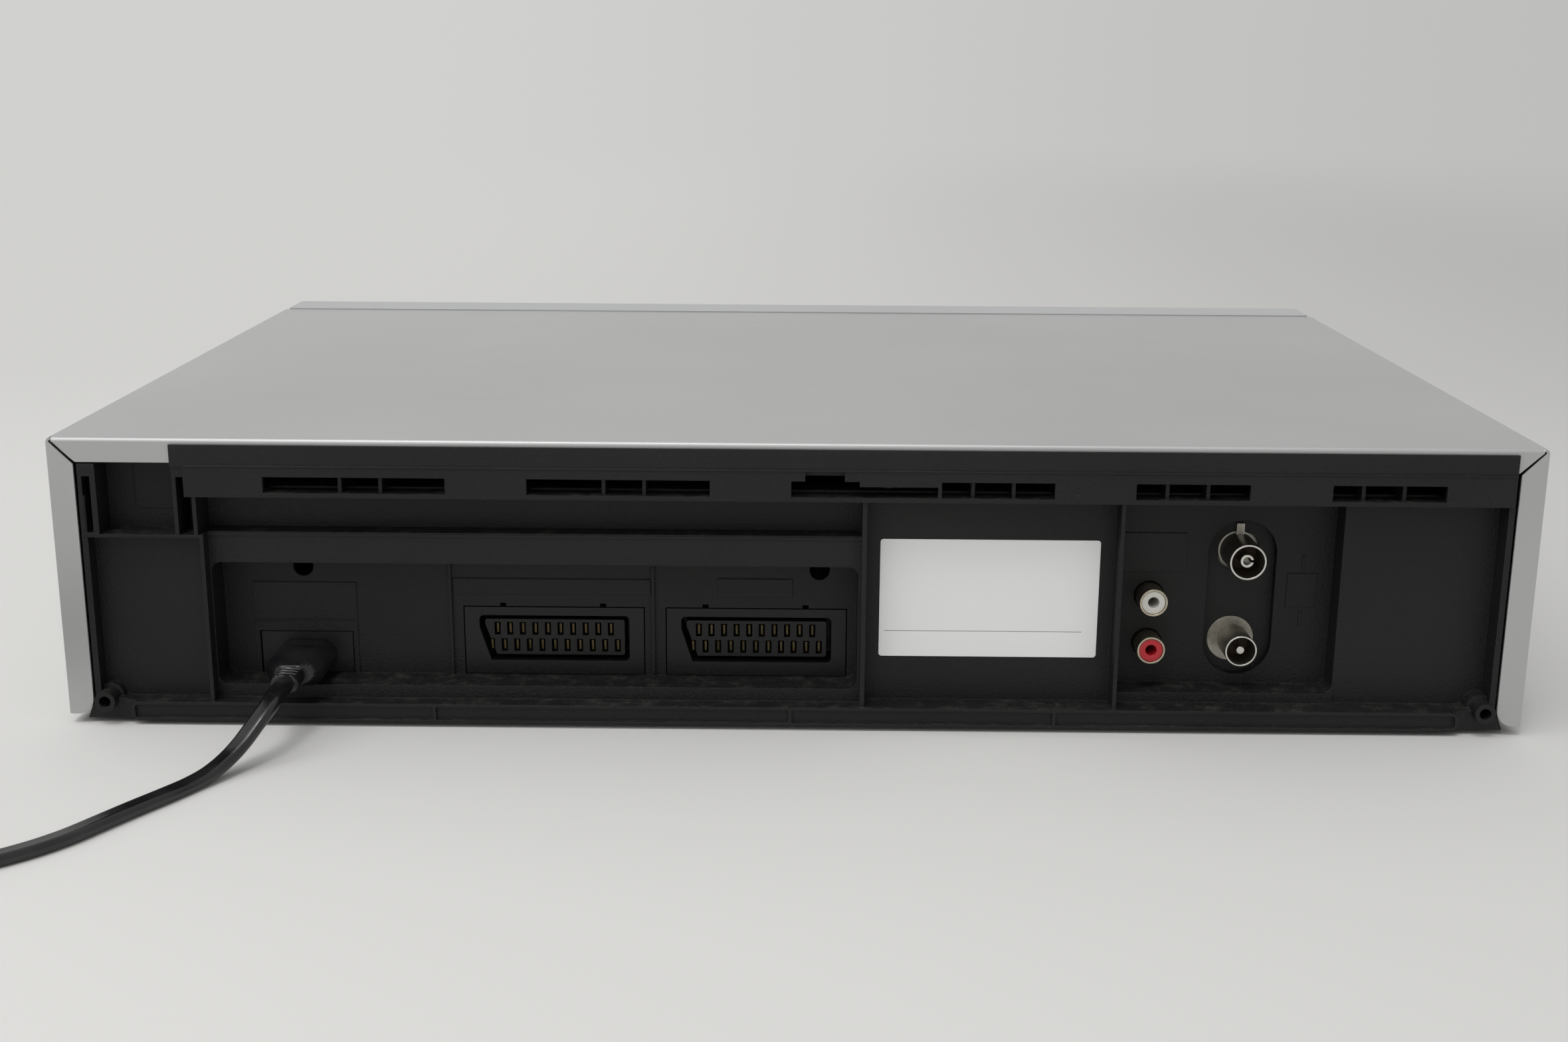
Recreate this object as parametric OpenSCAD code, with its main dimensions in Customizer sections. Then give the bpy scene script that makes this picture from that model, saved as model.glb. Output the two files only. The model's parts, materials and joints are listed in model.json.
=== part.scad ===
// Video cassette recorder for a shelf: a black moulded frame that carries the
// jack field at the back, a folded sheet cover, a moulded front panel and a
// helical-scan tape transport.
// X runs across the machine, the front looks to -Y, the jack field to +Y, Z is up.

/* [Cover] */
// Width over the cover's sides
body_w = 430; // [425:5:520]
// Length of the cover, from its rear flanges to the front panel
cover_d = 258; // [250:2:320]
// Height of the cover's sides
cover_h = 84; // [82:1:104]
// Thickness of the cover's sheet
sheet_t = 0.8; // [0.6:0.1:1]
// Width of the flanges turned in at the back
flange_w = 7.3; // [6.5:0.1:8]
// Gap of the mitre between the top and side flanges
mitre_gap = 0.9; // [0.5:0.1:1.5]

/* [Frame] */
// Wall of the moulded frame
wall = 2; // [1.6:0.1:2.2]
// Height of the rubber feet
foot_h = 1.5; // [1:0.1:3]
// Distance from a side of the cover to the frame's side wall
side_gap = 8; // [7:0.5:10]
// How far the screw bosses stand behind the cover
boss_proud = 2.5; // [2:0.5:4]
// Radius of a screw boss
boss_r = 3.05; // [2.8:0.05:3.4]
// Radius of a screw boss's hole
boss_hole_r = 1.7; // [1.4:0.1:1.9]
// Height of the rail with the air slots
rail_h = 17.2; // [16:0.2:19]
// Width of the socket field
field_w = 190; // [188:1:200]
// Height of the socket field
field_h = 37.6; // [37:0.2:42]
// Depth of the socket field's floor behind the cover's rear edge
field_d = 15.5; // [14:0.5:17]
// Width of the aerial field
aerial_w = 65.3; // [64:0.5:72]

/* [Sockets] */
// Width of a multi-pole socket's housing
av_w = 54; // [53:0.5:56]
// Height of a multi-pole socket's housing
av_h = 21.2; // [21:0.1:24]
// Distance between contacts in a row
av_pitch = 3.81; // [3.6:0.01:3.9]
// Distance between the two multi-pole sockets
av_step = 60.9; // [59:0.1:64]
// Distance between the two audio sockets
audio_step = 14.8; // [12:0.1:18]
// Outer radius of an audio socket
audio_r = 4.15; // [3.8:0.05:4.4]
// Distance between the two aerial sockets
aerial_step = 27.8; // [24:0.1:32]
// Outer radius of the aerial input
aerial_in_r = 5.35; // [5:0.05:5.8]
// Outer radius of the aerial output
aerial_out_r = 4.7; // [4.4:0.05:5]

/* [Front] */
// Depth of the front panel
panel_d = 23; // [22:0.5:30]
// How far the buttons stand out of the front panel
button_proud = 0.5; // [0.2:0.1:1]
// How much narrower the front panel is than the cover, each side
panel_inset = 2.5; // [1:0.5:4]
// Wall of the front panel
panel_wall = 2.4; // [2:0.1:2.8]
// Travel of a button
button_travel = 1.5; // [1:0.1:1.8]
// Gap around a button and around a flap
button_gap = 0.4; // [0.3:0.05:0.6]

/* [Transport] */
// Distance of the tape transport's centre line from the machine's
deck_x = -40; // [-44:1:-36]
// Width of the cassette that it takes
cassette_w = 188; // [186:1:188]
// Height of the cassette
cassette_h = 25; // [24:0.5:25]
// Distance between the two reels
reel_step = 92.4; // [91:0.1:93]
// Radius of the head drum
drum_r = 31; // [29:0.5:31.5]
// Lean of the head drum
drum_lean = 5.5; // [0:0.5:6]
// Way that the carriage travels inwards
carriage_in = 67; // [60:1:68]
// Way that the carriage travels down
carriage_down = 22; // [18:0.5:22]
// Radial clearance of a running fit
run_gap = 0.05; // [0.02:0.01:0.08]

/* [Lead] */
// Width of the flat two-core lead
cord_w = 6; // [5.5:0.1:6.4]
// Thickness of the lead
cord_t = 3.4; // [3:0.1:3.6]

/* [Hidden] */
$fn = 48;

// ---- levels and planes ----
gap = 0.3;                       // between still pieces that touch on the real machine
base_z = foot_h;                 // underside of the frame
cover_z = base_z + 1.5;          // lower edge of the cover's sides
top_z = cover_z + cover_h;       // top of the cover
panel_top = top_z + 0.5;
depth = cover_d + panel_d + boss_proud + button_proud;
rear_y = depth / 2 - boss_proud; // plane of the cover's rear flanges
front_y = button_proud - depth / 2;  // face of the front panel
cover_front = rear_y - cover_d;
side_x = body_w / 2 - side_gap;  // outer face of the frame's side wall
floor_z = base_z + wall;         // inside of the frame's bottom

// the jack field, measured from the side walls
rib_t = 1.2;
rib_left = side_x - 34.8;
rib_mid = rib_left - field_w - 2.4;
field_x1 = rib_left - 0.9;
field_x0 = field_x1 - field_w;
field_z0 = base_z + 9.8;
field_z1 = field_z0 + field_h;
rib_right = -side_x + 112.3;
aerial_x1 = rib_right;
aerial_x0 = aerial_x1 - aerial_w - 0.6;
aerial_z0 = base_z + 8.9;
aerial_d = 16;
rail_z1 = top_z - 1.8;
rail_z0 = rail_z1 - rail_h + 1.8;
step_z = top_z - 6.8;            // the step where the rail's thin upper band begins
band_z = top_z - flange_w - 0.5; // top of the rail's box, just under the flange
ledge_z = base_z + 56.8;
post_x1 = side_x - 0.2;
post_x0 = post_x1 - 5.2;
pocket_x0 = post_x0 - 22;
shelf_t = 1;
rear_in = rear_y - aerial_d - wall;  // innermost plane of the rear wall

// sockets
inlet_x = rib_left - 25;
inlet_z = base_z + 15.6;
inlet_w = 27.6;
inlet_h = 13.2;
av_x1 = rib_left - 99.9;         // centre of the first multi-pole socket
av_x2 = av_x1 - av_step;
av_z0 = field_z0;
audio_x = rib_right - 11.6;
audio_z = base_z + 21.5;         // lower audio socket
aerial_x = rib_right - 38.2;
aerial_z = base_z + 21.7;        // lower aerial socket
oblong_r = 10.15;
oblong_d = 3;
face_y = rear_y - field_d;
aerial_y = rear_y - aerial_d;

// boards
board_z = floor_z + 5.5;
board_t = 1.6;
board_top = board_z + board_t;
board_x = side_x - 7;
board_y1 = rear_in - 3.5;
board_y0 = cover_front + 6.5;

// transport
deck_z = base_z + 22.5;          // underside of the transport plate
deck_t = 1.5;
deck_top = deck_z + deck_t;
deck_w = 196;
deck_y0 = front_y + 30;
deck_y1 = deck_y0 + 182;
reel_y = deck_y0 + 52;
drum_y = deck_y0 + 148;
slot_z = base_z + 53;            // floor of the cassette way
slot_h = cassette_h + 1.5;
way_w = cassette_w + 2;          // inside width of the carriage
tunnel_w = way_w + 5;
plate_in = way_w / 2 + 4;        // inside of a carriage side plate
carriage_y0 = front_y + 33;
pin_y = carriage_y0 + 32;
pin_z = slot_z + 13.5;
pin_r = 1.5;
rail_pin_z = pin_z + 8.2;

// front panel layout
panel_w = body_w - 2 * panel_inset;
flap_z0 = slot_z - 0.6;
flap_z1 = panel_top - 3.2;
hinge_y = front_y + 2.6;
hinge_z = flap_z1 - 1.8;
hinge_r = 1.2;
window = [64, 158, flap_z0, flap_z1];
door = [-204, -124, base_z + 10, base_z + 34];
door_r = 1.2;                    // round lower edge of the door, about its pins
door_y = front_y + door_r;
door_pin_z = door[2] + button_gap + door_r;
pin_gap = 0.08;
// each button: centre x, centre height, width, height
buttons = [[-190, base_z + 70, 24, 9], [-159, base_z + 70, 24, 9],
    [-78, base_z + 28, 36, 12], [-36, base_z + 28, 36, 12], [6, base_z + 28, 36, 12],
    [48, base_z + 28, 36, 12], [90, base_z + 28, 36, 12],
    [184, base_z + 74, 26, 9], [184, base_z + 60, 26, 9]];
front_board_y = front_y + 20.5;
switch_h = 3.5;

silver = [0.68, 0.69, 0.70];
black = [0.13, 0.135, 0.14];
steel = [0.72, 0.72, 0.70];
board_green = [0.55, 0.45, 0.25];

// ---- shapes that repeat ----
module block(x0, x1, y0, y1, z0, z1) {
    translate([min(x0, x1), min(y0, y1), min(z0, z1)])
        cube([abs(x1 - x0), abs(y1 - y0), abs(z1 - z0)]);
}

// a flat shape drawn in X and Z, from y0 to y1
module xz(y0, y1) {
    translate([0, y1, 0]) rotate([90, 0, 0]) linear_extrude(y1 - y0) children();
}

// a flat shape drawn in Y and Z, from x0 to x1
module yz(x0, x1) {
    translate([x0, 0, 0]) rotate([90, 0, 90]) linear_extrude(x1 - x0) children();
}

// a rectangle from corner to corner with round corners
module rounded(x0, x1, y0, y1, r) {
    if (x1 - x0 > 2.01 * r) translate([x0 + r, y0]) square([x1 - x0 - 2 * r, y1 - y0]);
    if (y1 - y0 > 2.01 * r) translate([x0, y0 + r]) square([x1 - x0, y1 - y0 - 2 * r]);
    for (x = [x0 + r, x1 - r], y = [y0 + r, y1 - r]) translate([x, y]) circle(r);
}

// an upright bar, and a bar along Y or X
module post(x, y, z0, z1, r) {
    translate([x, y, z0]) cylinder(r = r, h = z1 - z0);
}
module bar_y(x, z, y0, y1, r) {
    translate([x, y0, z]) rotate([-90, 0, 0]) cylinder(r = r, h = y1 - y0);
}
module bar_x(y, z, x0, x1, r) {
    translate([x0, y, z]) rotate([0, 90, 0]) cylinder(r = r, h = x1 - x0);
}

// the same on both sides of the machine's middle, or of the line at x
module mirrored(x = 0) {
    translate([x, 0, 0]) {
        children();
        mirror([1, 0, 0]) children();
    }
}

// a cross-head screw with its head's underside at the origin and its shank down
module screw(head_r, shank_r, shank_l) {
    difference() {
        rotate_extrude() polygon([[0, 0], [head_r, 0], [head_r, head_r * 0.35],
            [head_r * 0.7, head_r * 0.6], [0, head_r * 0.65]]);
        for (a = [0, 90]) rotate(a)
            translate([-head_r * 0.55, -head_r * 0.13, head_r * 0.3])
                cube([head_r * 1.1, head_r * 0.26, head_r]);
    }
    translate([0, 0, -shank_l]) cylinder(r = shank_r, h = shank_l);
}

// ---- moulded frame ----
// the planes of the rear wall: x0, x1, z0, z1, depth behind the cover's rear edge
rear_planes = [
    [rib_left, side_x, base_z, ledge_z, 5.5],
    [pocket_x0, side_x, ledge_z, rail_z1, 9.5],
    [rib_mid, pocket_x0, ledge_z, rail_z0, 11.3],
    [rib_mid, rib_left, base_z, ledge_z, 4.5],
    [field_x0, field_x1, field_z0, field_z1, field_d],
    [rib_right, rib_mid, base_z, rail_z0, 7.5],
    [aerial_x0, rib_right, aerial_z0, rail_z0, aerial_d],
    [aerial_x0, rib_right, base_z, aerial_z0, 6.5],
    [-side_x, aerial_x0, base_z, rail_z0, 7.5],
    [-side_x + 0.6, pocket_x0 - 3.6, rail_z0, band_z, -1],
    [-side_x + 0.6, pocket_x0, band_z, rail_z1, 2.2]];
function is_field(p) = p[4] == field_d || p[4] == aerial_d;

// air slots: x0, x1, and the ribs across each
slot_ribs = 11.7;
air_slots = [[rib_left - 71.5, rib_left - 19.1], [rib_left - 147.7, rib_left - 95],
    [rib_mid - 54.3, rib_mid - 21.9], [rib_right - 35.7, rib_right - 3.1],
    [-side_x + 20.4, -side_x + 53]];
air_z0 = rail_z0 + 1.4;
air_z1 = air_z0 + 4.7;

module rear_shell() {
    field = [for (p = rear_planes) if (is_field(p)) p];
    land = [for (p = rear_planes) if (!is_field(p)) p];
    difference() {
        // the outer form: every plane stands up from the innermost one
        difference() {
            union() for (p = land) block(p[0], p[1], rear_in, rear_y - p[4], p[2], p[3]);
            for (p = field) block(p[0], p[1], rear_y - p[4], rear_y + 5, p[2], p[3]);
        }
        // the hollow behind it, one wall inside the outer form
        difference() {
            union() for (p = land)
                block(p[0] - 0.01, p[1] + 0.01, rear_in - 1, rear_y - p[4] - wall,
                    p[2] - 0.01, p[3] + 0.01);
            for (p = rear_planes)
                block(p[0] - wall, p[1] + wall, rear_y - p[4] - wall, rear_y + 5,
                    p[2] - wall, p[3] + wall);
            block(side_x - wall, side_x + 1, rear_in - 2, rear_y + 1, 0, top_z);
            block(-side_x + wall, -side_x - 1, rear_in - 2, rear_y + 1, 0, top_z);
            block(-side_x - 1, side_x + 1, rear_in - 2, rear_y + 1, rail_z1 - wall, top_z);
            block(-side_x - 1, side_x + 1, rear_in - 2, rear_y + 1, 0, floor_z);
        }
    }
    // floors of the two fields
    for (p = field)
        block(p[0] - wall, p[1] + wall, rear_y - p[4] - wall, rear_y - p[4],
            p[2] - wall, p[3] + (p[4] == field_d ? wall : 0));
}

// raised pads that frame each socket, all bare
module field_pads() {
    pad = 0.4;
    block(inlet_x - 15.6, inlet_x + 15.6, face_y - 0.1, face_y + pad,
        inlet_z + 11.2, inlet_z + 22.8);
    block(inlet_x - 15.6, inlet_x + 15.6, face_y - 0.1, face_y + pad,
        field_z0 - 0.1, inlet_z + 10.4);
    block(av_x1 - 29.2, av_x1 + 30, face_y - 0.1, face_y + pad, av_z0 + av_h + 4.2,
        av_z0 + av_h + 9);
    block(av_x2 - 10.8, av_x2 + 11.5, face_y - 0.1, face_y + pad, av_z0 + av_h + 3.8,
        av_z0 + av_h + 9.5);
    for (x = [av_x1 + 31, av_x2 + 31])
        block(x - 0.5, x + 0.5, face_y - 0.1, face_y + 1, field_z0 - 0.1, field_z1 + 0.1);
    block(audio_x - 10.5, audio_x + 8.4, aerial_y - 0.1, aerial_y + pad,
        audio_z + audio_step + 7.3, audio_z + audio_step + 19.4);
    block(aerial_x - 23.1, aerial_x - 14.3, aerial_y - 0.1, aerial_y + pad,
        aerial_z + 11.3, aerial_z + 21.8);
    for (z = [aerial_z + 5.6, aerial_z + 22.8])
        block(aerial_x - 19.2, aerial_x - 18.4, aerial_y - 0.1, aerial_y + pad, z, z + 4.6);
}

// rounds off the inner corner at x, z, which opens towards sx and sz
module corner_round(x, z, sx, sz, r, y0, y1) {
    lap = 0.2;
    xz(y0, y1) difference() {
        translate([sx > 0 ? x - lap : x - r, sz > 0 ? z - lap : z - r]) square(r + lap);
        translate([x + sx * r, z + sz * r]) circle(r);
    }
}

field_round = 2.8;
module field_corners() {
    for (x = [[field_x0, 1], [field_x1, -1]], z = [[field_z0, 1], [field_z1, -1]])
        corner_round(x[0], z[0], x[1], z[1], field_round, face_y - 0.1, rear_y - 4.5);
    corner_round(aerial_x0, aerial_z0, 1, 1, field_round, aerial_y - 0.1, rear_y - 7.5);
}

// thin raised line on the back of the corner pocket, with one round corner
module pocket_line() {
    line = 0.5;
    bend = 1.5;
    x = pocket_x0 + 14.6;
    z = ledge_z + 5.6;
    xz(rear_y - 9.6, rear_y - 9.25) {
        translate([x - line, z + bend]) square([line, band_z - z - bend]);
        translate([pocket_x0, z]) square([x - bend - pocket_x0, line]);
        intersection() {
            translate([x - bend, z + bend]) difference() {
                circle(bend);
                circle(bend - line);
            }
            translate([x - bend, z]) square(bend);
        }
    }
}

module stadium(x, z0, z1, r) {
    translate([x - r, z0 + r]) square([2 * r, z1 - z0 - 2 * r]);
    for (z = [z0 + r, z1 - r]) translate([x, z]) circle(r);
}

oblong_z0 = aerial_z - 10;
oblong_z1 = aerial_z + aerial_step + oblong_r;

module socket_cuts() {
    // mains inlet, multi-pole sockets with their two latch notches, lamp-sized holes
    block(inlet_x - inlet_w / 2 - 0.3, inlet_x + inlet_w / 2 + 0.3, rear_in - 5, rear_y,
        field_z0, inlet_z + inlet_h / 2 + 0.9);
    for (x = [av_x1, av_x2]) {
        block(x - av_w / 2 - 0.3, x + av_w / 2 + 0.3, rear_in - 5, rear_y, av_z0,
            av_z0 + av_h + 0.3);
        for (dx = [-14.8, 15.3])
            block(x + dx - 0.9, x + dx + 0.9, rear_in - 5, rear_y, av_z0 + av_h,
                av_z0 + av_h + 1.3);
    }
    for (x = [inlet_x, av_x2 - 18.9])
        bar_y(x, inlet_z + 27.7, rear_in - 5, rear_y, 3);
    for (z = [audio_z, audio_z + audio_step])
        bar_y(audio_x, z, rear_in - 5, rear_y, audio_r + 0.35);
    xz(aerial_y - oblong_d, aerial_y + 1) stadium(aerial_x - 0.6, oblong_z0, oblong_z1,
        oblong_r);
    for (z = [aerial_z, aerial_z + aerial_step])
        bar_y(aerial_x, z, rear_in - 5, rear_y, aerial_in_r + 0.9);
}

module air_slot_cuts() {
    for (s = air_slots)
        block(s[0], s[1], rear_y - 6, rear_y + 2, air_z0, air_z1);
    // the middle slot runs on as a shallow one, with a latch notch above its far end
    block(rib_mid + 1.7, rib_mid + 21.3, rear_y - 6, rear_y + 2, air_z0, air_z1);
    block(rib_mid + 6, rib_mid + 17.3, rear_y - 1.2, rear_y + 2, air_z1 - 0.1, air_z1 + 3.6);
    block(rib_mid - 20.8, rib_mid + 1.7, rear_y - 6, rear_y + 2, air_z0, air_z1 - 1.5);
}

module air_slot_ribs() {
    for (s = air_slots) for (k = [1, 2])
        block(s[0] + 0.36 * (s[1] - s[0]) + (k - 1) * slot_ribs - 0.55,
            s[0] + 0.36 * (s[1] - s[0]) + (k - 1) * slot_ribs + 0.55,
            rear_y - 9, rear_y - 0.6, air_z0 - 0.2, air_z1 + 0.6);
}

// two guide posts, the pocket between them and the shelf below
module guide_posts() {
    difference() {
        union() {
            block(post_x0, post_x1, rear_y - 9.6, rear_y, ledge_z - shelf_t, band_z);
            block(pocket_x0, pocket_x0 - 1.2, rear_y - 11.4, rear_y, ledge_z - shelf_t, band_z);
            block(pocket_x0 - 5.4, pocket_x0 - 6.6, rear_y - 11.4, rear_y,
                ledge_z - shelf_t, rail_z0 + 0.1);
            block(pocket_x0, pocket_x0 - 3.7, rear_y - 11.4, rear_y, band_z - 3.8, band_z);
            block(rib_left, post_x1, rear_y - 11.4, rear_y, ledge_z - shelf_t, ledge_z);
        }
        block(post_x0 + 1.7, post_x1 - 1.2, rear_in - 1, rear_y + 1, ledge_z + 0.4,
            ledge_z + 17.2);
    }
}

module frame_ribs() {
    block(rib_left - rib_t / 2, rib_left + rib_t / 2, rear_y - 5.6, rear_y, base_z + 5,
        ledge_z);
    block(rib_mid - 0.7, rib_mid + 0.7, rear_y - 11.4, rear_y, base_z + 5, rail_z0 + 0.1);
    block(rib_right - rib_t / 2, rib_right + rib_t / 2, rear_y - aerial_d - 0.1, rear_y,
        base_z + 5, rail_z0 + 0.1);
    // the frame's side walls run out to the cover's rear edge
    mirrored() block(side_x - 1.8, side_x, rear_y - 10, rear_y - 0.2, base_z + 6, rail_z0);
    // bead along the top of the socket field's frame
    block(rib_mid, rib_left, rear_y - 4.6, rear_y - 4.1, ledge_z - 1.2, ledge_z - 0.4);
}

rail_x = side_x - 10.5;
module lower_rail() {
    difference() {
        xz(rear_y - 8, rear_y + 1)
            rounded(-rail_x, rail_x, base_z, base_z + 5.8, 2.6);
        xz(rear_y, rear_y + 2)
            rounded(-rail_x + 1.3, rail_x - 1.3, base_z + 0.9, base_z + 4.8, 0.8);
    }
    block(-rail_x, rail_x, rear_y - 8, rear_y - 1, base_z, base_z + 3);
    for (x = [rib_left - 65.8, rib_mid + 21.2, rib_mid - 56.8])
        block(x - 0.5, x + 0.5, rear_y - 0.1, rear_y + 1, base_z + 0.5, base_z + 5.3);
    // corner feet of the moulding
    mirrored() xz(rear_y - 8, rear_y - 1)
        polygon([[rail_x - 4, base_z], [side_x + 3, base_z], [side_x, base_z + 7.5],
            [rail_x - 4, base_z + 5]]);
}

boss_x = side_x - 3.5;
boss_z = base_z + 6.1;
deck_posts = [for (x = [-88, 88], y = [deck_y0 + 9, deck_y0 + 150]) [deck_x + x, y]];
board_posts = [[board_x - 8, board_y0 + 8], [board_x - 8, board_y1 - 14],
    [-board_x + 8, board_y0 + 8], [-board_x + 8, board_y1 - 8]];
side_screw_y = [cover_front + 45, rear_y - 45];
side_screw_z = base_z + 16;

// bottom, side walls and front cross wall, up to where the rear wall begins
module chassis_frame() {
    y0 = cover_front + 1;
    color(black) difference() {
        union() {
            block(-side_x, side_x, y0, rear_in, base_z, floor_z);
            mirrored() block(side_x - wall, side_x, y0, rear_in, base_z, rail_z0);
            block(-side_x, side_x, y0, y0 + wall, base_z, base_z + 18);
            // posts under the transport and under the board
            for (p = deck_posts) post(p[0], p[1], floor_z - 0.1, deck_z, 4.5);
            for (p = board_posts) post(p[0], p[1], floor_z - 0.1, board_z, 3.5);
            // bosses that the cover's side screws turn into
            mirrored() for (y = side_screw_y)
                bar_x(y, side_screw_z, side_x - 0.1, body_w / 2 - sheet_t - 0.2, 4);
        }
        for (p = deck_posts) post(p[0], p[1], deck_z - 14, deck_z + 1, 1.35);
        for (p = board_posts) post(p[0], p[1], floor_z, board_z + 1, 1.2);
        mirrored() for (y = side_screw_y)
            bar_x(y, side_screw_z, side_x - wall - 1, body_w / 2, 1.5);
        // air slots in the bottom, under the power supply and under the transport
        for (k = [0:7])
            block(side_x - 90 + 9 * k, side_x - 86 + 9 * k, rear_y - 110, rear_y - 70,
                base_z - 1, floor_z + 1);
        for (k = [0:9])
            block(deck_x - 56 + 12 * k, deck_x - 52 + 12 * k, deck_y0 + 60, deck_y0 + 88,
                base_z - 1, floor_z + 1);
        // sinks under the posts, where the moulding is cored
        for (p = deck_posts) post(p[0], p[1], base_z - 1, base_z + 0.9, 3.2);
        for (p = board_posts) post(p[0], p[1], base_z - 1, base_z + 0.9, 2.4);
    }
}

// the whole rear moulding: the jack field with its ribs, rails and screw bosses
module rear_moulding() {
    difference() {
        union() {
            rear_shell();
            field_pads();
            field_corners();
            // thickening that holds the oblong recess around the aerial sockets
            xz(aerial_y - oblong_d - wall, aerial_y - wall + 0.1)
                stadium(aerial_x - 0.6, oblong_z0 - wall, oblong_z1 + wall,
                    oblong_r + wall);
            frame_ribs();
            lower_rail();
            // screw bosses at the two lower corners
            mirrored() {
                bar_y(boss_x, boss_z, rear_y - 10, rear_y + boss_proud, boss_r);
                bar_y(boss_x, boss_z, rear_y - 10, rear_y - 3, boss_r + 1);
            }
        }
        socket_cuts();
        air_slot_cuts();
        mirrored() bar_y(boss_x, boss_z, rear_y - 9, rear_y + boss_proud + 1, boss_hole_r);
    }
    difference() {
        guide_posts();
        block(pocket_x0 - 1.2, pocket_x0 - 5.4, rear_in - 1, rear_y + 1, ledge_z + 0.4,
            ledge_z + 17.2);
    }
    air_slot_ribs();
    pocket_line();
    // the rail's thin upper band, which stands in front of the cover's flange
    block(-side_x + 0.6, pocket_x0, rear_y + 0.2, rear_y + 1, band_z - 0.4, rail_z1);
}

// the two lower corners, which hold the screw bosses, are solids of their own
module boss_corners() {
    mirrored() block(side_x - 9, side_x + 5, rear_in - 1, rear_y + 5, 0, base_z + 11);
}

// thin slits, each just beside a rib or a ledge, that part the rear wall into simple solids
slit = 0.02;
slit_left = rib_left + 0.7;
slit_mid = rib_mid - 0.9;
slit_rail_y = rear_y - 8.2;
slit_rail_z = base_z + 6.1;
slit_ledge_z = ledge_z - shelf_t - 0.3;
slit_top_z = rail_z0 - 0.6;
module wall_slits() {
    y0 = rear_in - 1;
    y1 = rear_y + 5;
    t = slit / 2;
    for (x = [slit_mid, rib_right + 0.8, aerial_x0 - wall - 0.4])
        block(x - t, x + t, y0, y1, 0, slit_top_z);
    block(slit_left - t, slit_left + t, y0, y1, 0, top_z);
    block(-side_x - 1, slit_left, y0, y1, slit_top_z - t, slit_top_z + t);
    block(slit_mid, side_x + 1, y0, y1, slit_ledge_z - t, slit_ledge_z + t);
    // over and behind the lower rail
    rail_end = side_x - 8;
    block(-rail_end, rail_end, slit_rail_y, y1, slit_rail_z - t, slit_rail_z + t);
    block(-rail_end, rail_end, slit_rail_y - t, slit_rail_y + t, 0, slit_rail_z + t);
}

module rear_wall() {
    color(black) difference() {
        rear_moulding();
        boss_corners();
        wall_slits();
    }
}

module rear_bosses() {
    color(black) intersection() {
        rear_moulding();
        boss_corners();
    }
}

module foot_pads() {
    color([0.1, 0.1, 0.1]) for (x = [-1, 1], y = [cover_front + 22, rear_y - 34])
        translate([x * (side_x - 32), y, 0]) difference() {
            cylinder(r1 = 9, r2 = 10, h = foot_h);
            translate([0, 0, -1]) cylinder(r = 4, h = 1.4);
        }
}

// ---- folded sheet cover ----
module cover_outline(w, h, r) {
    translate([-w / 2, 0]) square([w, h - r]);
    translate([-w / 2 + r, h - r]) square([w - 2 * r, r]);
    for (s = [-1, 1]) translate([s * (w / 2 - r), h - r]) circle(r);
}

module top_cover() {
    bend_r = 2 * sheet_t;
    half = body_w / 2;
    cut = mitre_gap * sqrt(2) / 2;
    color(silver) difference() {
        union() {
            translate([0, 0, cover_z]) xz(cover_front, rear_y) difference() {
                cover_outline(body_w, cover_h, bend_r);
                translate([0, -1]) cover_outline(body_w - 2 * sheet_t,
                    cover_h - sheet_t + 1, bend_r / 2);
            }
            // flanges turned in at the back, mitred at the top corners
            translate([0, 0, cover_z]) xz(rear_y - sheet_t, rear_y) intersection() {
                cover_outline(body_w, cover_h, bend_r);
                union() {
                    polygon([[-half + cut, cover_h], [half - cut, cover_h],
                        [half - flange_w - cut, cover_h - flange_w],
                        [-half + flange_w + cut, cover_h - flange_w]]);
                    for (s = [-1, 1]) difference() {
                        polygon([[s * half, 0], [s * half, cover_h - cut],
                            [s * (half - flange_w), cover_h - flange_w - cut],
                            [s * (half - flange_w), 0]]);
                        difference() {
                            translate([s * (half - flange_w) - 5, -5]) square(10);
                            translate([s * (half - flange_w + 5), 5]) circle(5);
                            if (s > 0) translate([half - flange_w + 5, -6]) square(20);
                            if (s < 0) translate([-half + flange_w - 25, -6]) square(20);
                        }
                    }
                }
            }
            // hems along the lower edges
            mirrored() block(half - 4, half - sheet_t / 2, cover_front, rear_y - 8,
                cover_z, cover_z + sheet_t);
        }
        mirrored() for (y = side_screw_y)
            bar_x(y, side_screw_z, half - 5, half + 5, 1.8);
    }
}

module cover_screws() {
    color([0.3, 0.3, 0.31]) mirrored() for (y = side_screw_y)
        translate([body_w / 2 + 0.02, y, side_screw_z]) rotate([0, 90, 0])
            screw(3.2, 1.35, 8);
}

// ---- front panel and its pieces ----
module panel_profile(inset) {
    y0 = front_y + inset;
    y1 = cover_front - gap;
    r = 3 - inset * 0.8;
    z0 = base_z + inset;
    z1 = panel_top - inset;
    translate([y0 + r, z0]) square([y1 - y0 - r + inset * 2, z1 - z0]);
    translate([y0, z0 + r]) square([y1 - y0 + inset * 2, z1 - z0 - 2 * r]);
    for (z = [z0 + r, z1 - r]) translate([y0 + r, z]) circle(r);
}

module button_outline(b, grow) {
    rounded(b[0] - b[2] / 2 - grow, b[0] + b[2] / 2 + grow, b[1] - b[3] / 2 - grow,
        b[1] + b[3] / 2 + grow, 2);
}

tunnel_x0 = deck_x - tunnel_w / 2;
tunnel_x1 = deck_x + tunnel_w / 2;
panel_bosses = [[-110, base_z + 12], [120, base_z + 12], [-110, base_z + 44],
    [120, base_z + 44], [196, base_z + 44]];

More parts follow.
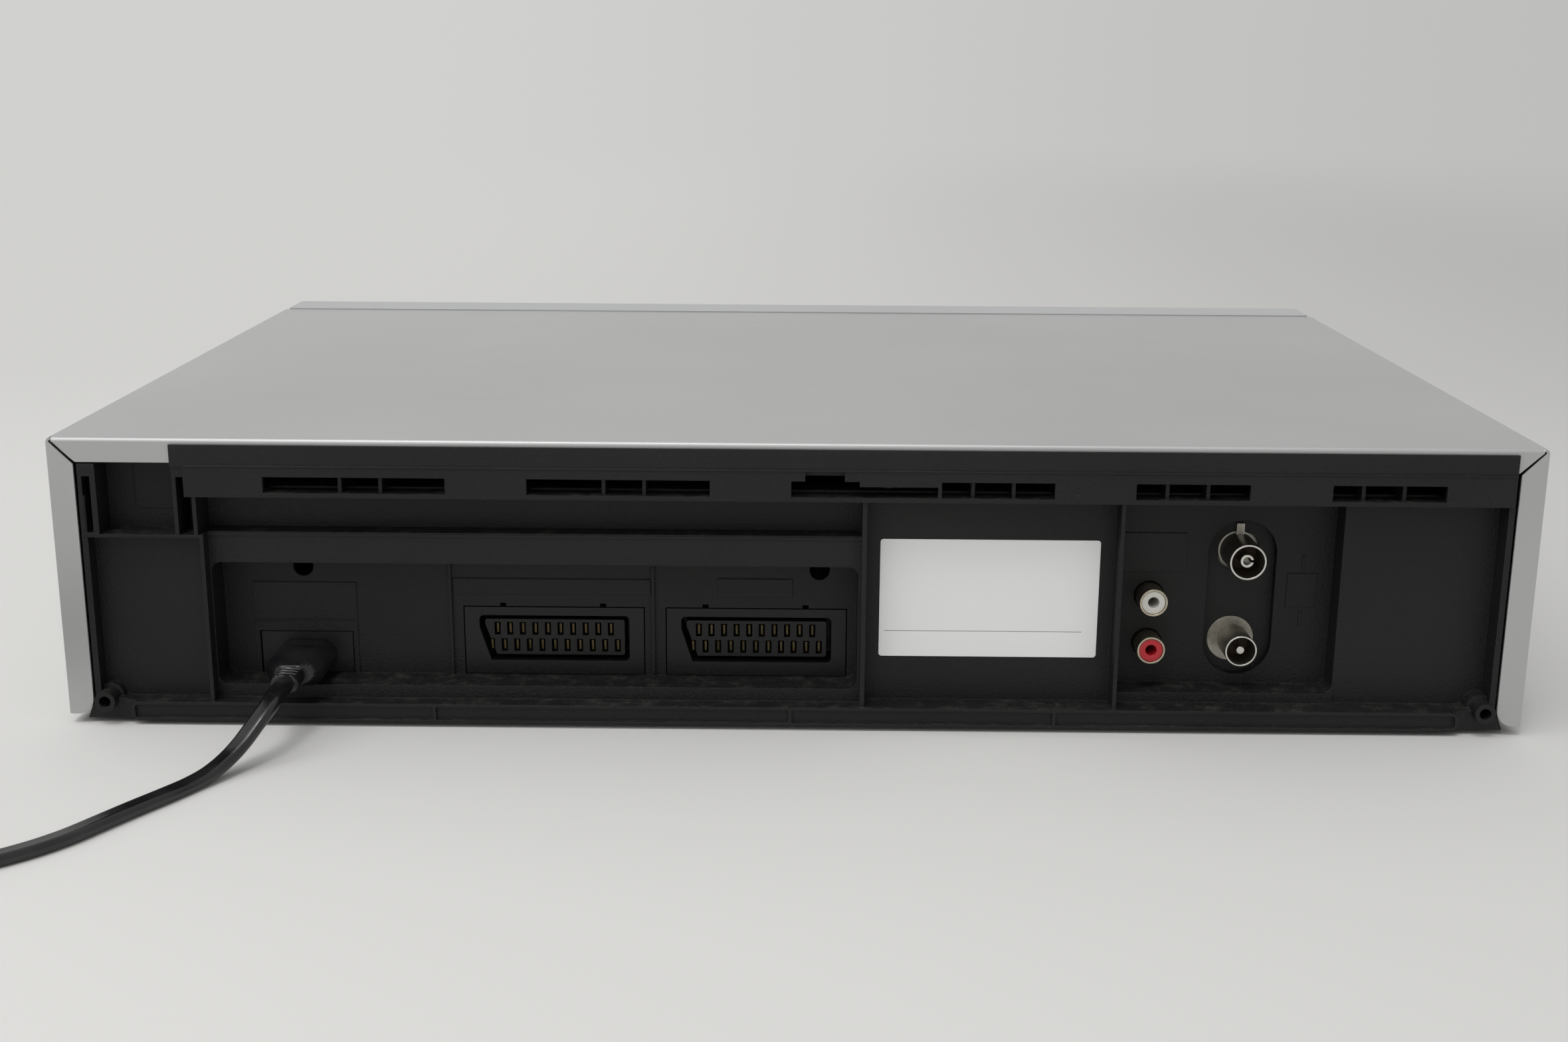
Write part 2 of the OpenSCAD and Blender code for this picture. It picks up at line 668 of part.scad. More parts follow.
module front_panel() {
    color(silver) difference() {
        union() {
            difference() {
                yz(-panel_w / 2, panel_w / 2) panel_profile(0);
                yz(-panel_w / 2 + panel_wall, panel_w / 2 - panel_wall)
                    panel_profile(panel_wall);
            }
            // tunnel that the cassette passes through
            for (x = [tunnel_x0 - 1.6, tunnel_x1])
                block(x, x + 1.6, front_y + 1, cover_front - gap, flap_z0 - 1.6,
                    panel_top - 1);
            block(tunnel_x0 - 1.6, tunnel_x1 + 1.6, front_y + 1, cover_front - gap,
                flap_z0 - 1.6, flap_z0);
            // pocket around the front sockets
            difference() {
                block(door[0] - 1.5, door[1] + 1.5, front_y + 1, front_y + 17, door[2] - 1.5,
                    door[3] + 1.5);
                block(door[0], door[1], front_y - 1, front_y + 15.5, door[2], door[3]);
            }
            // bosses behind the face that carry the front board
            for (b = panel_bosses) bar_y(b[0], b[1], front_y + 1, front_board_y, 3);
        }
        // cassette mouth, display window, door, buttons
        block(tunnel_x0, tunnel_x1, front_y - 1, front_y + panel_wall + 1, flap_z0, flap_z1);
        block(window[0], window[1], front_y - 1, front_y + panel_wall + 1, window[2],
            window[3]);
        block(door[0], door[1], front_y - 1, front_y + 4, door[2], door[3]);
        for (b = buttons) xz(front_y - 1, front_y + panel_wall + 1)
            button_outline(b, button_gap);
        // bearings of the flap's and the door's pins
        bar_x(hinge_y, hinge_z, tunnel_x0 - 1.2, tunnel_x1 + 1.2, hinge_r + pin_gap);
        bar_x(door_y, door_pin_z, door[0] - 1, door[1] + 1, door_r - 0.4 + pin_gap);
        for (x = [-172, -160, -148])
            bar_y(x - 10, (door[2] + door[3]) / 2, front_y + 10, front_y + 20, 4.3);
        for (b = panel_bosses) bar_y(b[0], b[1], front_y + 10, front_board_y + 1, 1.1);
        // shadow line across the face
        block(-panel_w / 2 - 1, panel_w / 2 + 1, front_y - 1, front_y + 0.6,
            flap_z0 - 3.6, flap_z0 - 2.6);
    }
}

module cassette_flap() {
    g = button_gap;
    color(silver) {
        difference() {
            union() {
                block(tunnel_x0 + g, tunnel_x1 - g, front_y, front_y + 1.8, flap_z0 + g,
                    flap_z1 - g);
                // stiffening ribs inside
                for (z = [flap_z0 + 3, flap_z1 - 9])
                    block(tunnel_x0 + 6, tunnel_x1 - 6, front_y + 1.7, front_y + 2.8, z,
                        z + 1.2);
            }
            // shallow finger line near the lower edge
            block(tunnel_x0, tunnel_x1, front_y - 1, front_y + 0.4, flap_z0 + 3.4,
                flap_z0 + 4.2);
        }
        for (x = [tunnel_x0 + g, tunnel_x1 - g - 4])
            {
                block(x, x + 4, front_y + 1, hinge_y, hinge_z - 1.4, hinge_z + 1.4);
                bar_x(hinge_y, hinge_z, x, x + 4, 1.4);
            }
        bar_x(hinge_y, hinge_z, tunnel_x0 - 0.9, tunnel_x0 + g + 1, hinge_r);
        bar_x(hinge_y, hinge_z, tunnel_x1 - g - 1, tunnel_x1 + 0.9, hinge_r);
    }
}

module display_window() {
    g = 0.15;
    color([0.05, 0.05, 0.07]) xz(front_y + 0.2, front_y + 2.2)
        rounded(window[0] + g, window[1] - g, window[2] + g, window[3] - g, 0.8);
}

module display_module() {
    color([0.12, 0.18, 0.2]) {
        block(window[0] + 8, window[1] - 8, front_y + 5, front_y + 9, window[2] + 5,
            window[3] - 5);
        block(window[0] + 6, window[1] - 6, front_y + 9, front_board_y - 0.1, window[2] + 3,
            window[3] - 3);
    }
}

module front_board() {
    z1 = tunnel_lip();
    color(board_green) difference() {
        union() {
            block(-panel_w / 2 + 6, panel_w / 2 - 6, front_board_y, front_board_y + board_t,
                base_z + 6, z1);
            block(tunnel_x1 + 3, panel_w / 2 - 6, front_board_y, front_board_y + board_t,
                z1 - 1, panel_top - 6);
            block(-panel_w / 2 + 6, tunnel_x0 - 3, front_board_y, front_board_y + board_t,
                z1 - 1, panel_top - 6);
        }
        for (b = panel_bosses) bar_y(b[0], b[1], front_board_y - 1, front_board_y + 5, 1.4);
    }
    // push switches behind the buttons
    color([0.2, 0.2, 0.2]) for (b = buttons) {
        block(b[0] - 3, b[0] + 3, front_board_y - switch_h, front_board_y, b[1] - 3, b[1] + 3);
    }
}
function tunnel_lip() = flap_z0 - 2;

module front_jacks() {
    z = (door[2] + door[3]) / 2;
    color([0.75, 0.7, 0.5]) for (x = [-182, -170, -158]) difference() {
        union() {
            bar_y(x, z, front_y + 7.5, front_board_y - 3, 4);
            block(x - 5, x + 5, front_y + 17.2, front_board_y - 0.1, z - 6, z + 6);
        }
        bar_y(x, z, front_y + 7, front_y + 15, 1.6);
    }
}

module jack_door() {
    g = button_gap;
    color(silver) {
        block(door[0] + g, door[1] - g, front_y, front_y + 1.8, door_pin_z, door[3] - g);
        bar_x(door_y, door_pin_z, door[0] + g, door[1] - g, door_r);
        block(door[0] + g + 2, door[1] - g - 2, front_y + 1.7, front_y + 2.8, door[3] - 4,
            door[3] - 2.8);
        for (x = [door[0] - 0.8, door[1] - g - 1])
            bar_x(door_y, door_pin_z, x, x + g + 1.8, door_r - 0.4);
    }
}

module push_button(b) {
    color([0.6, 0.61, 0.62]) {
        difference() {
            xz(front_y - button_proud, front_y + panel_wall + 1.8) button_outline(b, 0);
            xz(front_y + 1, front_y + panel_wall + 2) button_outline(b, -1);
        }
        // flange that keeps the cap behind the face
        difference() {
            xz(front_y + panel_wall + 0.6, front_y + panel_wall + 1.8) button_outline(b, 1);
            xz(front_y + panel_wall, front_y + panel_wall + 2) button_outline(b, -1);
        }
        bar_y(b[0], b[1], front_y + 0.9,
            front_board_y - switch_h - button_travel - 0.3, 1.8);
    }
}
module power_button() { push_button(buttons[0]); }
module eject_button() { push_button(buttons[1]); }
module rewind_button() { push_button(buttons[2]); }
module play_button() { push_button(buttons[3]); }
module forward_button() { push_button(buttons[4]); }
module stop_button() { push_button(buttons[5]); }
module record_button() { push_button(buttons[6]); }
module channel_up_button() { push_button(buttons[7]); }
module channel_down_button() { push_button(buttons[8]); }

// ---- pieces of the jack field ----
module rating_plate() {
    x = (rib_mid + rib_right) / 2;
    color([0.92, 0.92, 0.9]) xz(rear_y - 7.5, rear_y - 7.3)
        rounded(x - 32.3, x + 32.3, base_z + 19.4, base_z + 55.4, 0.9);
}

module figure_eight(r, half) {
    translate([-half, -r]) square([2 * half, 2 * r]);
    for (s = [-1, 1]) translate([s * half, 0]) circle(r);
}

nose_r = 4.05;
nose_half = 3.9;
blade_step = 8.6;
module ac_inlet() {
    color([0.1, 0.1, 0.11]) difference() {
        union() {
            block(inlet_x - inlet_w / 2, inlet_x + inlet_w / 2, face_y - wall - 14,
                face_y - 0.1, inlet_z - inlet_h / 2 + 0.9, inlet_z + inlet_h / 2 + 0.6);
            block(inlet_x - inlet_w / 2 - 1.5, inlet_x + inlet_w / 2 + 1.5,
                face_y - wall - 14, face_y - wall - 0.2, board_top + 0.1,
                inlet_z + inlet_h / 2 + 2);
        }
        translate([inlet_x, 0, inlet_z]) xz(face_y - 13, face_y + 1)
            figure_eight(nose_r + 0.25, nose_half);
    }
    color(steel) for (s = [-1, 1])
        bar_y(inlet_x + s * blade_step / 2, inlet_z, face_y - 13.5, face_y - 3, 1.2);
}

// outline of a multi-pole plug: one end slants in towards the bottom
module av_outline(grow) {
    g = grow;
    difference() {
        rounded(-22.6 - g, 22.6 + g, -7.1 - g, 7.1 + g, 1.4 + g / 2);
        polygon([[22.6 + g + 0.1, 3.6 - g * 0.4], [19.2 + g, -7.3 - g], [24 + g, -7.3 - g],
            [24 + g, 3.6 - g * 0.4]]);
    }
}

av_mid_z = av_z0 + 11.5;
// contact places: top row of ten, bottom row of eleven
av_cells = concat([for (k = [0:9]) [17.4 - k * av_pitch, 2.6]],
    [for (k = [0:10]) [19.2 - k * av_pitch, -2.6]]);

module av_socket(x) {
    color(black) translate([x, 0, av_mid_z]) difference() {
        union() {
            block(-av_w / 2, av_w / 2, face_y - wall - 0.2, face_y, -11.3,
                av_h - 11.5);
            block(-av_w / 2 + 1, av_w / 2 - 1, face_y - 20, face_y - wall,
                board_top + 0.1 - av_mid_z, av_h - 12);
        }
        // groove that takes the plug's skirt
        xz(face_y - 11, face_y + 1) difference() {
            av_outline(0);
            av_outline(-1.5);
        }
        xz(face_y - 1.2, face_y + 1) av_outline(-1.4);
        for (c = av_cells)
            block(c[0] - 0.9, c[0] + 0.9, face_y - 9, face_y, c[1] - 2, c[1] + 2);
    }
}
module av_sockets() {
    for (x = [av_x1, av_x2]) av_socket(x);
}

module av_contacts() {
    color([0.75, 0.65, 0.4]) for (x = [av_x1, av_x2], c = av_cells)
        translate([x, 0, av_mid_z])
            block(c[0] - 0.35, c[0] + 0.35, face_y - 8.9, face_y - 2, c[1] - 1.5, c[1] + 1.5);
}

audio_l = 8.1;
barrel_step = 0.2;     // a barrel is that much thinner where it passes the moulding
module audio_socket_body() {
    color([0.15, 0.15, 0.15]) difference() {
        block(audio_x - 6, audio_x + 6, aerial_y - wall - 16, aerial_y - wall - 0.2,
            board_top + 0.1, audio_z + audio_step + 6.5);
        for (z = [audio_z, audio_z + audio_step])
            bar_y(audio_x, z, aerial_y - wall - 8, aerial_y, audio_r + 0.05);
    }
}

module audio_socket_shells() {
    color([0.8, 0.75, 0.6]) for (z = [audio_z, audio_z + audio_step]) difference() {
        union() {
            bar_y(audio_x, z, aerial_y - wall - 7.8, aerial_y + barrel_step,
                audio_r - barrel_step);
            bar_y(audio_x, z, aerial_y + barrel_step, aerial_y + audio_l, audio_r);
        }
        bar_y(audio_x, z, aerial_y - wall - 6, aerial_y + audio_l + 1, audio_r - 0.6);
    }
}

module audio_ring(z) {
    difference() {
        bar_y(audio_x, z, aerial_y - wall - 5.9, aerial_y + audio_l - 0.3, audio_r - 0.65);
        bar_y(audio_x, z, aerial_y - wall - 4, aerial_y + audio_l, 1.65);
    }
}
module audio_ring_left() { color([0.93, 0.93, 0.9]) audio_ring(audio_z + audio_step); }
module audio_ring_right() { color([0.8, 0.1, 0.12]) audio_ring(audio_z); }

tuner_y1 = aerial_y - oblong_d - wall - 0.3;
module tuner_box() {
    color([0.75, 0.75, 0.73]) difference() {
        block(aerial_x - 20, aerial_x + 20, tuner_y1 - 48, tuner_y1, board_top + 0.1,
            aerial_z + aerial_step + 14);
        for (k = [0:3]) bar_x(tuner_y1 - 10 - 9 * k, aerial_z + 32, aerial_x + 18,
            aerial_x + 21, 2.5);
        block(aerial_x - 19, aerial_x + 19, tuner_y1 - 47, tuner_y1 - 1,
            aerial_z + aerial_step + 13.2, aerial_z + aerial_step + 15);
    }
}

aerial_l = 11.6;
module aerial_in() {
    z = aerial_z + aerial_step;
    floor_y = aerial_y - oblong_d;
    tab_w = 2.4;
    color([0.8, 0.79, 0.74]) {
        difference() {
            union() {
                bar_y(aerial_x, z, tuner_y1 + 0.05, aerial_y - oblong_d + aerial_l + 1.4,
                    aerial_in_r);
                bar_y(aerial_x, z, tuner_y1 + 0.05, tuner_y1 + 1.2, aerial_in_r + 0.6);
                // earth tab that stands up behind the barrel
                block(aerial_x - tab_w / 2, aerial_x + tab_w / 2, floor_y - 1, floor_y + 1,
                    z, z + aerial_in_r + 0.7);
                block(aerial_x - tab_w / 2, aerial_x + tab_w / 2, floor_y + 0.1, floor_y + 1,
                    z, z + aerial_in_r + 3.4);
            }
            bar_y(aerial_x, z, aerial_y - oblong_d + 1, rear_y, aerial_in_r - 0.55);
        }
        // split centre contact
        difference() {
            bar_y(aerial_x, z, aerial_y - oblong_d + 0.9, aerial_y - oblong_d + aerial_l,
                1.95);
            bar_y(aerial_x, z, aerial_y - oblong_d + 3, rear_y, 1.2);
            block(aerial_x - 3, aerial_x, aerial_y - oblong_d + 4, rear_y, z - 0.35, z + 0.35);
        }
    }
}

module aerial_out() {
    z = aerial_z;
    color([0.8, 0.79, 0.74]) {
        difference() {
            union() {
                bar_y(aerial_x, z, tuner_y1 + 0.05, aerial_y - oblong_d + barrel_step,
                    aerial_out_r - barrel_step);
                bar_y(aerial_x, z, aerial_y - oblong_d + barrel_step,
                    aerial_y - oblong_d + aerial_l, aerial_out_r);
                bar_y(aerial_x, z, tuner_y1 + 0.05, tuner_y1 + 1.2, aerial_out_r + 1.2);
                // thin washer on the moulding, seated a little to one side
                bar_y(aerial_x + 0.9, z + 0.5, aerial_y - oblong_d + 0.02,
                    aerial_y - oblong_d + 0.17, aerial_out_r + 2.3);
            }
            bar_y(aerial_x, z, aerial_y - oblong_d + 1, rear_y, aerial_out_r - 0.5);
        }
        bar_y(aerial_x, z, aerial_y - oblong_d + 0.9, aerial_y - oblong_d + aerial_l - 1,
            1.15);
    }
}

// ---- boards and power supply ----
module main_board() {
    color(board_green) difference() {
        block(-board_x, board_x, board_y0, board_y1, board_z, board_top);
        for (p = deck_posts) post(p[0], p[1], board_z - 1, board_top + 1, 5);
        for (p = board_posts) post(p[0], p[1], board_z - 1, board_top + 1, 1.6);
        post(capstan_x, capstan_y, board_z - 1, board_top + 1, 3);
    }
    color([0.1, 0.1, 0.1]) for (c = [[-150, -60, 14, 22], [-150, -10, 20, 20],
        [110, -80, 18, 12], [150, -80, 10, 24]])
        block(c[0] - c[2] / 2, c[0] + c[2] / 2, c[1] - c[3] / 2, c[1] + c[3] / 2,
            board_top, board_top + 3);
}

// screws of the main board and of the transport plate
module inner_screws() {
    color(steel) {
        for (p = board_posts) translate([p[0], p[1], board_top + 0.02])
            screw(2.8, 1.1, 5);
        for (p = deck_posts) translate([p[0], p[1], deck_top + 0.02])
            screw(3.2, 1.25, 10);
    }
}

psu_x = inlet_x;
module mains_transformer() {
    color([0.75, 0.6, 0.2]) {
        block(psu_x - 18, psu_x + 14, rear_y - 92, rear_y - 62, board_top + 0.1,
            board_top + 5);
        block(psu_x - 16, psu_x + 12, rear_y - 88, rear_y - 66, board_top + 4.9,
            board_top + 27);
    }
    color([0.3, 0.3, 0.32]) for (y = [rear_y - 91, rear_y - 66])
        block(psu_x - 19, psu_x + 15, y, y + 3, board_top + 4.9, board_top + 24);
}

module main_capacitor() {
    color([0.1, 0.12, 0.3]) difference() {
        post(psu_x + 26, rear_y - 66, board_top + 0.1, board_top + 36, 11);
        translate([psu_x + 26, rear_y - 66, board_top + 34])
            rotate_extrude() translate([11, 0]) circle(0.7);
    }
}

module heat_sink() {
    color([0.7, 0.7, 0.72]) {
        block(psu_x - 30, psu_x - 27, rear_y - 96, rear_y - 46, board_top + 0.1,
            board_top + 38);
        for (k = [0:6])
            block(psu_x - 42, psu_x - 29.9, rear_y - 96 + 8 * k, rear_y - 94.4 + 8 * k,
                board_top + 3, board_top + 38);
    }
}

// ---- tape transport ----
capstan_x = deck_x + 54;
capstan_y = drum_y - 14;
shaft_r = 1.5;
reel_x = [deck_x - reel_step / 2, deck_x + reel_step / 2];
idler_y = reel_y - 32;
idler_l = 30;
track_x = 40;
track_y0 = drum_y - 50;
track_l = 67;
pinch_px = deck_x + 76;
pinch_py = capstan_y - 14;
pinch_l = 22.8;
pinch_rest = 192.3;

module transport_plate() {
    x0 = deck_x - deck_w / 2;
    x1 = deck_x + deck_w / 2;
    color(steel) {
        difference() {
            translate([0, 0, deck_z]) linear_extrude(deck_t)
                polygon([[x0, deck_y0], [x1, deck_y0], [x1, deck_y1], [deck_x - 56, deck_y1],
                    [deck_x - 56, deck_y1 - 22], [x0, deck_y1 - 22]]);
            for (p = deck_posts) post(p[0], p[1], deck_z - 1, deck_top + 1, 1.7);
            // tracks of the two guide posts
            for (s = [-1, 1]) translate([deck_x + s * track_x, 0, deck_z - 1])
                linear_extrude(deck_t + 2)
                    stadium(0, track_y0 - 3.2, track_y0 + track_l + 3.2, 3.2);
            post(capstan_x, capstan_y, deck_z - 1, deck_top + 1, 3);
            post(deck_x, idler_y, deck_z - 1, deck_top + 1, shaft_r + run_gap);
            // window under the drum
            post(deck_x, drum_y, deck_z - 1, deck_top + 1, 12);
        }
        // bent-up stiffening lip at the front, and pivots riveted to the plate
        block(x0, x1, deck_y0, deck_y0 + 1.2, deck_top - 0.1, deck_top + 5);
        for (x = reel_x) post(x, reel_y, deck_top - 0.1, deck_top + 21, shaft_r);
        post(pinch_px, pinch_py, deck_top - 0.1, deck_top + 24, shaft_r);
        // sleeve that the capstan runs in
        difference() {
            post(capstan_x, capstan_y, deck_z - 1.5, deck_top + 8, 3.05);
            post(capstan_x, capstan_y, deck_z - 3, deck_top + 9, shaft_r + run_gap);
        }
        // stops that the guide posts run up against
        for (s = [-1, 1]) block(deck_x + s * track_x - 6, deck_x + s * track_x + 6,
            track_y0 + track_l + 6, track_y0 + track_l + 10, deck_top - 0.1, deck_top + 18);
    }
}

module carriage_side_plates() {
    z1 = panel_top - 4;
    color(steel) mirrored(deck_x) difference() {
        union() {
            block(plate_in, plate_in + 1.2, deck_y0 + 2, deck_y0 + 146, deck_top + 0.1, z1);
            // foot flange that stands on the transport plate
            block(plate_in - 5.5, plate_in + 0.1, deck_y0 + 96, deck_y0 + 116,
                deck_top + 0.1, deck_top + 1.3);
        }
        // window that the carriage's pins travel in, and slot of the slider
        block(plate_in - 1, plate_in + 2, pin_y - 4, pin_y + carriage_in + 31,
            pin_z - carriage_down - 3, pin_z + 3);
        yz(plate_in - 1, plate_in + 2) rounded(pin_y - 25, pin_y + carriage_in + 32,
            rail_pin_z - pin_r - 0.3, rail_pin_z + pin_r + 0.3, pin_r + 0.3);
    }
}

module carriage_sliders() {
    x0 = plate_in + 1.2 + gap;
    color([0.85, 0.85, 0.8]) mirrored(deck_x) {
        difference() {
            union() {
                block(x0, x0 + 2, pin_y - 26, pin_y + 34, rail_pin_z - 2.8, rail_pin_z + 3);
                block(x0, x0 + 2, pin_y - 5, pin_y + 5, pin_z - carriage_down - 4,
                    rail_pin_z);
            }
            yz(x0 - 1, x0 + 3) rounded(pin_y - pin_r - 0.2, pin_y + pin_r + 0.2,
                pin_z - carriage_down - pin_r - 0.2, pin_z + pin_r + 0.2, pin_r + 0.2);
        }
        for (y = [pin_y - 22, pin_y + 29]) {
            bar_x(y, rail_pin_z, plate_in - 1.3, x0 + 0.1, pin_r);
            bar_x(y, rail_pin_z, plate_in - 1.4, plate_in - 0.4, pin_r + 1);
        }
    }
}

module cassette_carriage() {
    half = way_w / 2;
    wall_z1 = slot_z + slot_h;
    color([0.25, 0.25, 0.27]) {
        mirrored(deck_x) {
            block(half, half + 1, carriage_y0, carriage_y0 + 64, slot_z - 1.2, wall_z1 + 1.2);
            difference() {
                block(half - 13, half + 0.5, carriage_y0, carriage_y0 + 64, slot_z - 1.2,
                    slot_z);
                block(half - 8, half - 4, carriage_y0 + 8, carriage_y0 + 26, slot_z - 2,
                    slot_z + 1);
            }
            // stop that the cassette's leading edge meets
            block(half - 9, half + 0.5, carriage_y0 + 34, carriage_y0 + 35.5, slot_z - 0.1,
                slot_z + 12);
            // pins that run in the side plate's window
            bar_x(pin_y, pin_z, half + 0.9, plate_in + 4.2, pin_r);
            bar_x(pin_y + 27, pin_z, half + 0.9, plate_in + 1, pin_r);
        }
        difference() {
            block(deck_x - half - 0.5, deck_x + half + 0.5, carriage_y0, carriage_y0 + 33,
                wall_z1, wall_z1 + 1.2);
            for (s = [-1, 1]) block(deck_x + s * 30, deck_x + s * 74, carriage_y0 + 6,
                carriage_y0 + 27, wall_z1 - 1, wall_z1 + 2);
        }
        // leaf springs pressed out of the top
        for (s = [-1, 1]) block(deck_x + s * 48, deck_x + s * 56, carriage_y0 + 5,
            carriage_y0 + 22, wall_z1, wall_z1 + 0.6);
    }
}

drum_z = deck_top + 3;
module drum_frame() {
    translate([deck_x, drum_y, drum_z]) rotate([0, drum_lean, 0]) children();
}

module lower_drum() {
    color([0.78, 0.78, 0.8]) {
        drum_frame() difference() {
            union() {
                translate([0, 0, 3]) cylinder(r = drum_r, h = 16);
                translate([0, 0, 19]) cylinder(r = 5, h = 1);
            }
            translate([0, 0, -5]) cylinder(r = 2.5 + run_gap, h = 40);
            // step that guides the tape's lower edge
            translate([0, 0, 13]) rotate_extrude()
                translate([drum_r - 0.3, 0]) square([2, 7]);
        }
        // three feet screwed to the transport plate
        for (a = [90, 210, 330]) translate([deck_x, drum_y, deck_top + 0.05])
            rotate(a) translate([drum_r - 8, 0, 0]) cylinder(r = 3.5, h = 8);
    }
}

module upper_drum() {
    color([0.85, 0.85, 0.87]) drum_frame() {
        difference() {
            union() {
                translate([0, 0, 20.4]) cylinder(r = drum_r, h = 15);
                translate([0, 0, 35.3]) cylinder(r = 11, h = 3);
            }
            // windows of the video heads
            for (a = [0, 60, 180, 240]) rotate(a) translate([drum_r - 4, -1.5, 20])
                cube([6, 3, 2.4]);
            for (k = [0:5]) rotate(60 * k + 20) translate([18, 0, 31])
                cylinder(r = 3, h = 6);
        }
        translate([0, 0, 1]) cylinder(r = 2.5, h = 19.5);
    }
}

module reel_table(x) {
    color([0.2, 0.2, 0.2]) difference() {
        union() {
            post(x, reel_y, deck_top + 1, deck_top + 4, 20);
            post(x, reel_y, deck_top + 0.3, deck_top + 20.5, 5.5);
            post(x, reel_y, deck_top + 3.9, deck_top + 5.5, 12);
            for (a = [0:60:300]) translate([x, reel_y, deck_top + 3]) rotate(a)
                translate([4, -1, 0]) cube([5, 2, 13]);
            translate([x, reel_y, deck_top + 20.4]) cylinder(r1 = 5.5, r2 = 3.5, h = 2);
        }
        post(x, reel_y, deck_top, deck_top + 21.4, shaft_r + run_gap);
        for (a = [0:30:330]) translate([x, reel_y, deck_top + 3.4]) rotate(a)
            translate([13.5, -0.8, 0]) cube([4, 1.6, 2]);
    }
}
module supply_reel_table() { reel_table(reel_x[0]); }
module takeup_reel_table() { reel_table(reel_x[1]); }

pulley_z = deck_z - 6;
module idler_arm() {
    color(steel) {
        difference() {
            union() {
                translate([deck_x, idler_y, deck_top + 6]) linear_extrude(1.5) {
                    translate([-4, 0]) square([8, idler_l]);
                    circle(5);
                    translate([0, idler_l]) circle(4);
                }
                post(deck_x, idler_y, deck_top + 0.3, deck_top + 7, 3.5);
            }
            post(deck_x, idler_y, deck_top, deck_top + 9, shaft_r + run_gap);
        }
        post(deck_x, idler_y + idler_l, deck_top + 1, deck_top + 7, 1);
    }
}

module idler_wheel() {
    color([0.1, 0.1, 0.1]) difference() {
        post(deck_x, idler_y + idler_l, deck_top + 1.2, deck_top + 4.6, 12);
        post(deck_x, idler_y + idler_l, deck_top, deck_top + 6, 1 + run_gap);
        translate([deck_x, idler_y + idler_l, deck_top + 3.6]) rotate_extrude()
            translate([4, 0]) square([5, 2]);
    }
}

cap_pulley_r = 8;
centre_pulley_r = 15;
module capstan() {
    color([0.8, 0.8, 0.82]) {
        post(capstan_x, capstan_y, board_top + 0.6, deck_top + 32, shaft_r);
        difference() {
            post(capstan_x, capstan_y, board_top + 1.4, board_top + 4.6, 23);
            translate([capstan_x, capstan_y, board_top + 3.6]) rotate_extrude()
                translate([11, 0]) square([9, 3]);
        }
        difference() {
            post(capstan_x, capstan_y, board_top + 4.5, deck_z - 2, cap_pulley_r + 0.8);
            translate([capstan_x, capstan_y, pulley_z]) rotate_extrude()
                translate([cap_pulley_r, 0]) square([3, 3]);
        }
    }
}

module centre_pulley() {
    color([0.9, 0.9, 0.88]) {
        difference() {
            post(deck_x, idler_y, pulley_z - 1, deck_z - 1, centre_pulley_r + 0.8);
            translate([deck_x, idler_y, pulley_z]) rotate_extrude()
                translate([centre_pulley_r, 0]) square([3, 3]);
        }
        post(deck_x, idler_y, pulley_z - 1, deck_top + 9, shaft_r);
        post(deck_x, idler_y, deck_top + 7.8, deck_top + 9.4, 3);
    }
}

// outline round the two pulleys, grown by g: two arcs joined by the common tangents
function belt_outline(g) = let (run = [capstan_x - deck_x, capstan_y - idler_y],
    a = atan2(run[1], run[0]), t = acos((centre_pulley_r - cap_pulley_r) / norm(run)))
    concat(
        [for (k = [0:24]) [deck_x, idler_y] + (centre_pulley_r + g)
            * [cos(a + t + k * (360 - 2 * t) / 24), sin(a + t + k * (360 - 2 * t) / 24)]],
        [for (k = [0:16]) [capstan_x, capstan_y] + (cap_pulley_r + g)
            * [cos(a - t + k * t / 8), sin(a - t + k * t / 8)]]);

module drive_belt() {
    color([0.08, 0.08, 0.08]) translate([0, 0, pulley_z + 0.4]) linear_extrude(2.2)
        difference() {
            polygon(belt_outline(1.2));
            polygon(belt_outline(0.2));
        }
}

pinch_x = pinch_px + pinch_l * cos(pinch_rest);
pinch_y = pinch_py + pinch_l * sin(pinch_rest);
module pinch_arm() {
    color(steel) {
        difference() {
            union() {
                for (z = [deck_top + 8.6, deck_top + 25.2]) translate([pinch_px, pinch_py, z])
                    rotate(pinch_rest) linear_extrude(1.2) {
                        circle(4.5);
                        translate([0, -3.5]) square([pinch_l, 7]);
                        translate([pinch_l, 0]) circle(3.5);
                    }
                post(pinch_px, pinch_py, deck_top + 0.3, deck_top + 26, 4);
            }
            post(pinch_px, pinch_py, deck_top, deck_top + 24.4, shaft_r + run_gap);
        }
        post(pinch_x, pinch_y, deck_top + 9, deck_top + 26, 1);
    }
}

module pinch_roller() {
    color([0.12, 0.12, 0.12]) difference() {
        post(pinch_x, pinch_y, deck_top + 10.2, deck_top + 24.8, 6);
        post(pinch_x, pinch_y, deck_top + 9, deck_top + 26, 1 + run_gap);
        for (z = [deck_top + 9, deck_top + 24]) translate([pinch_x, pinch_y, z])
            rotate_extrude() translate([2.4, 0]) square([2, 2]);
    }
}

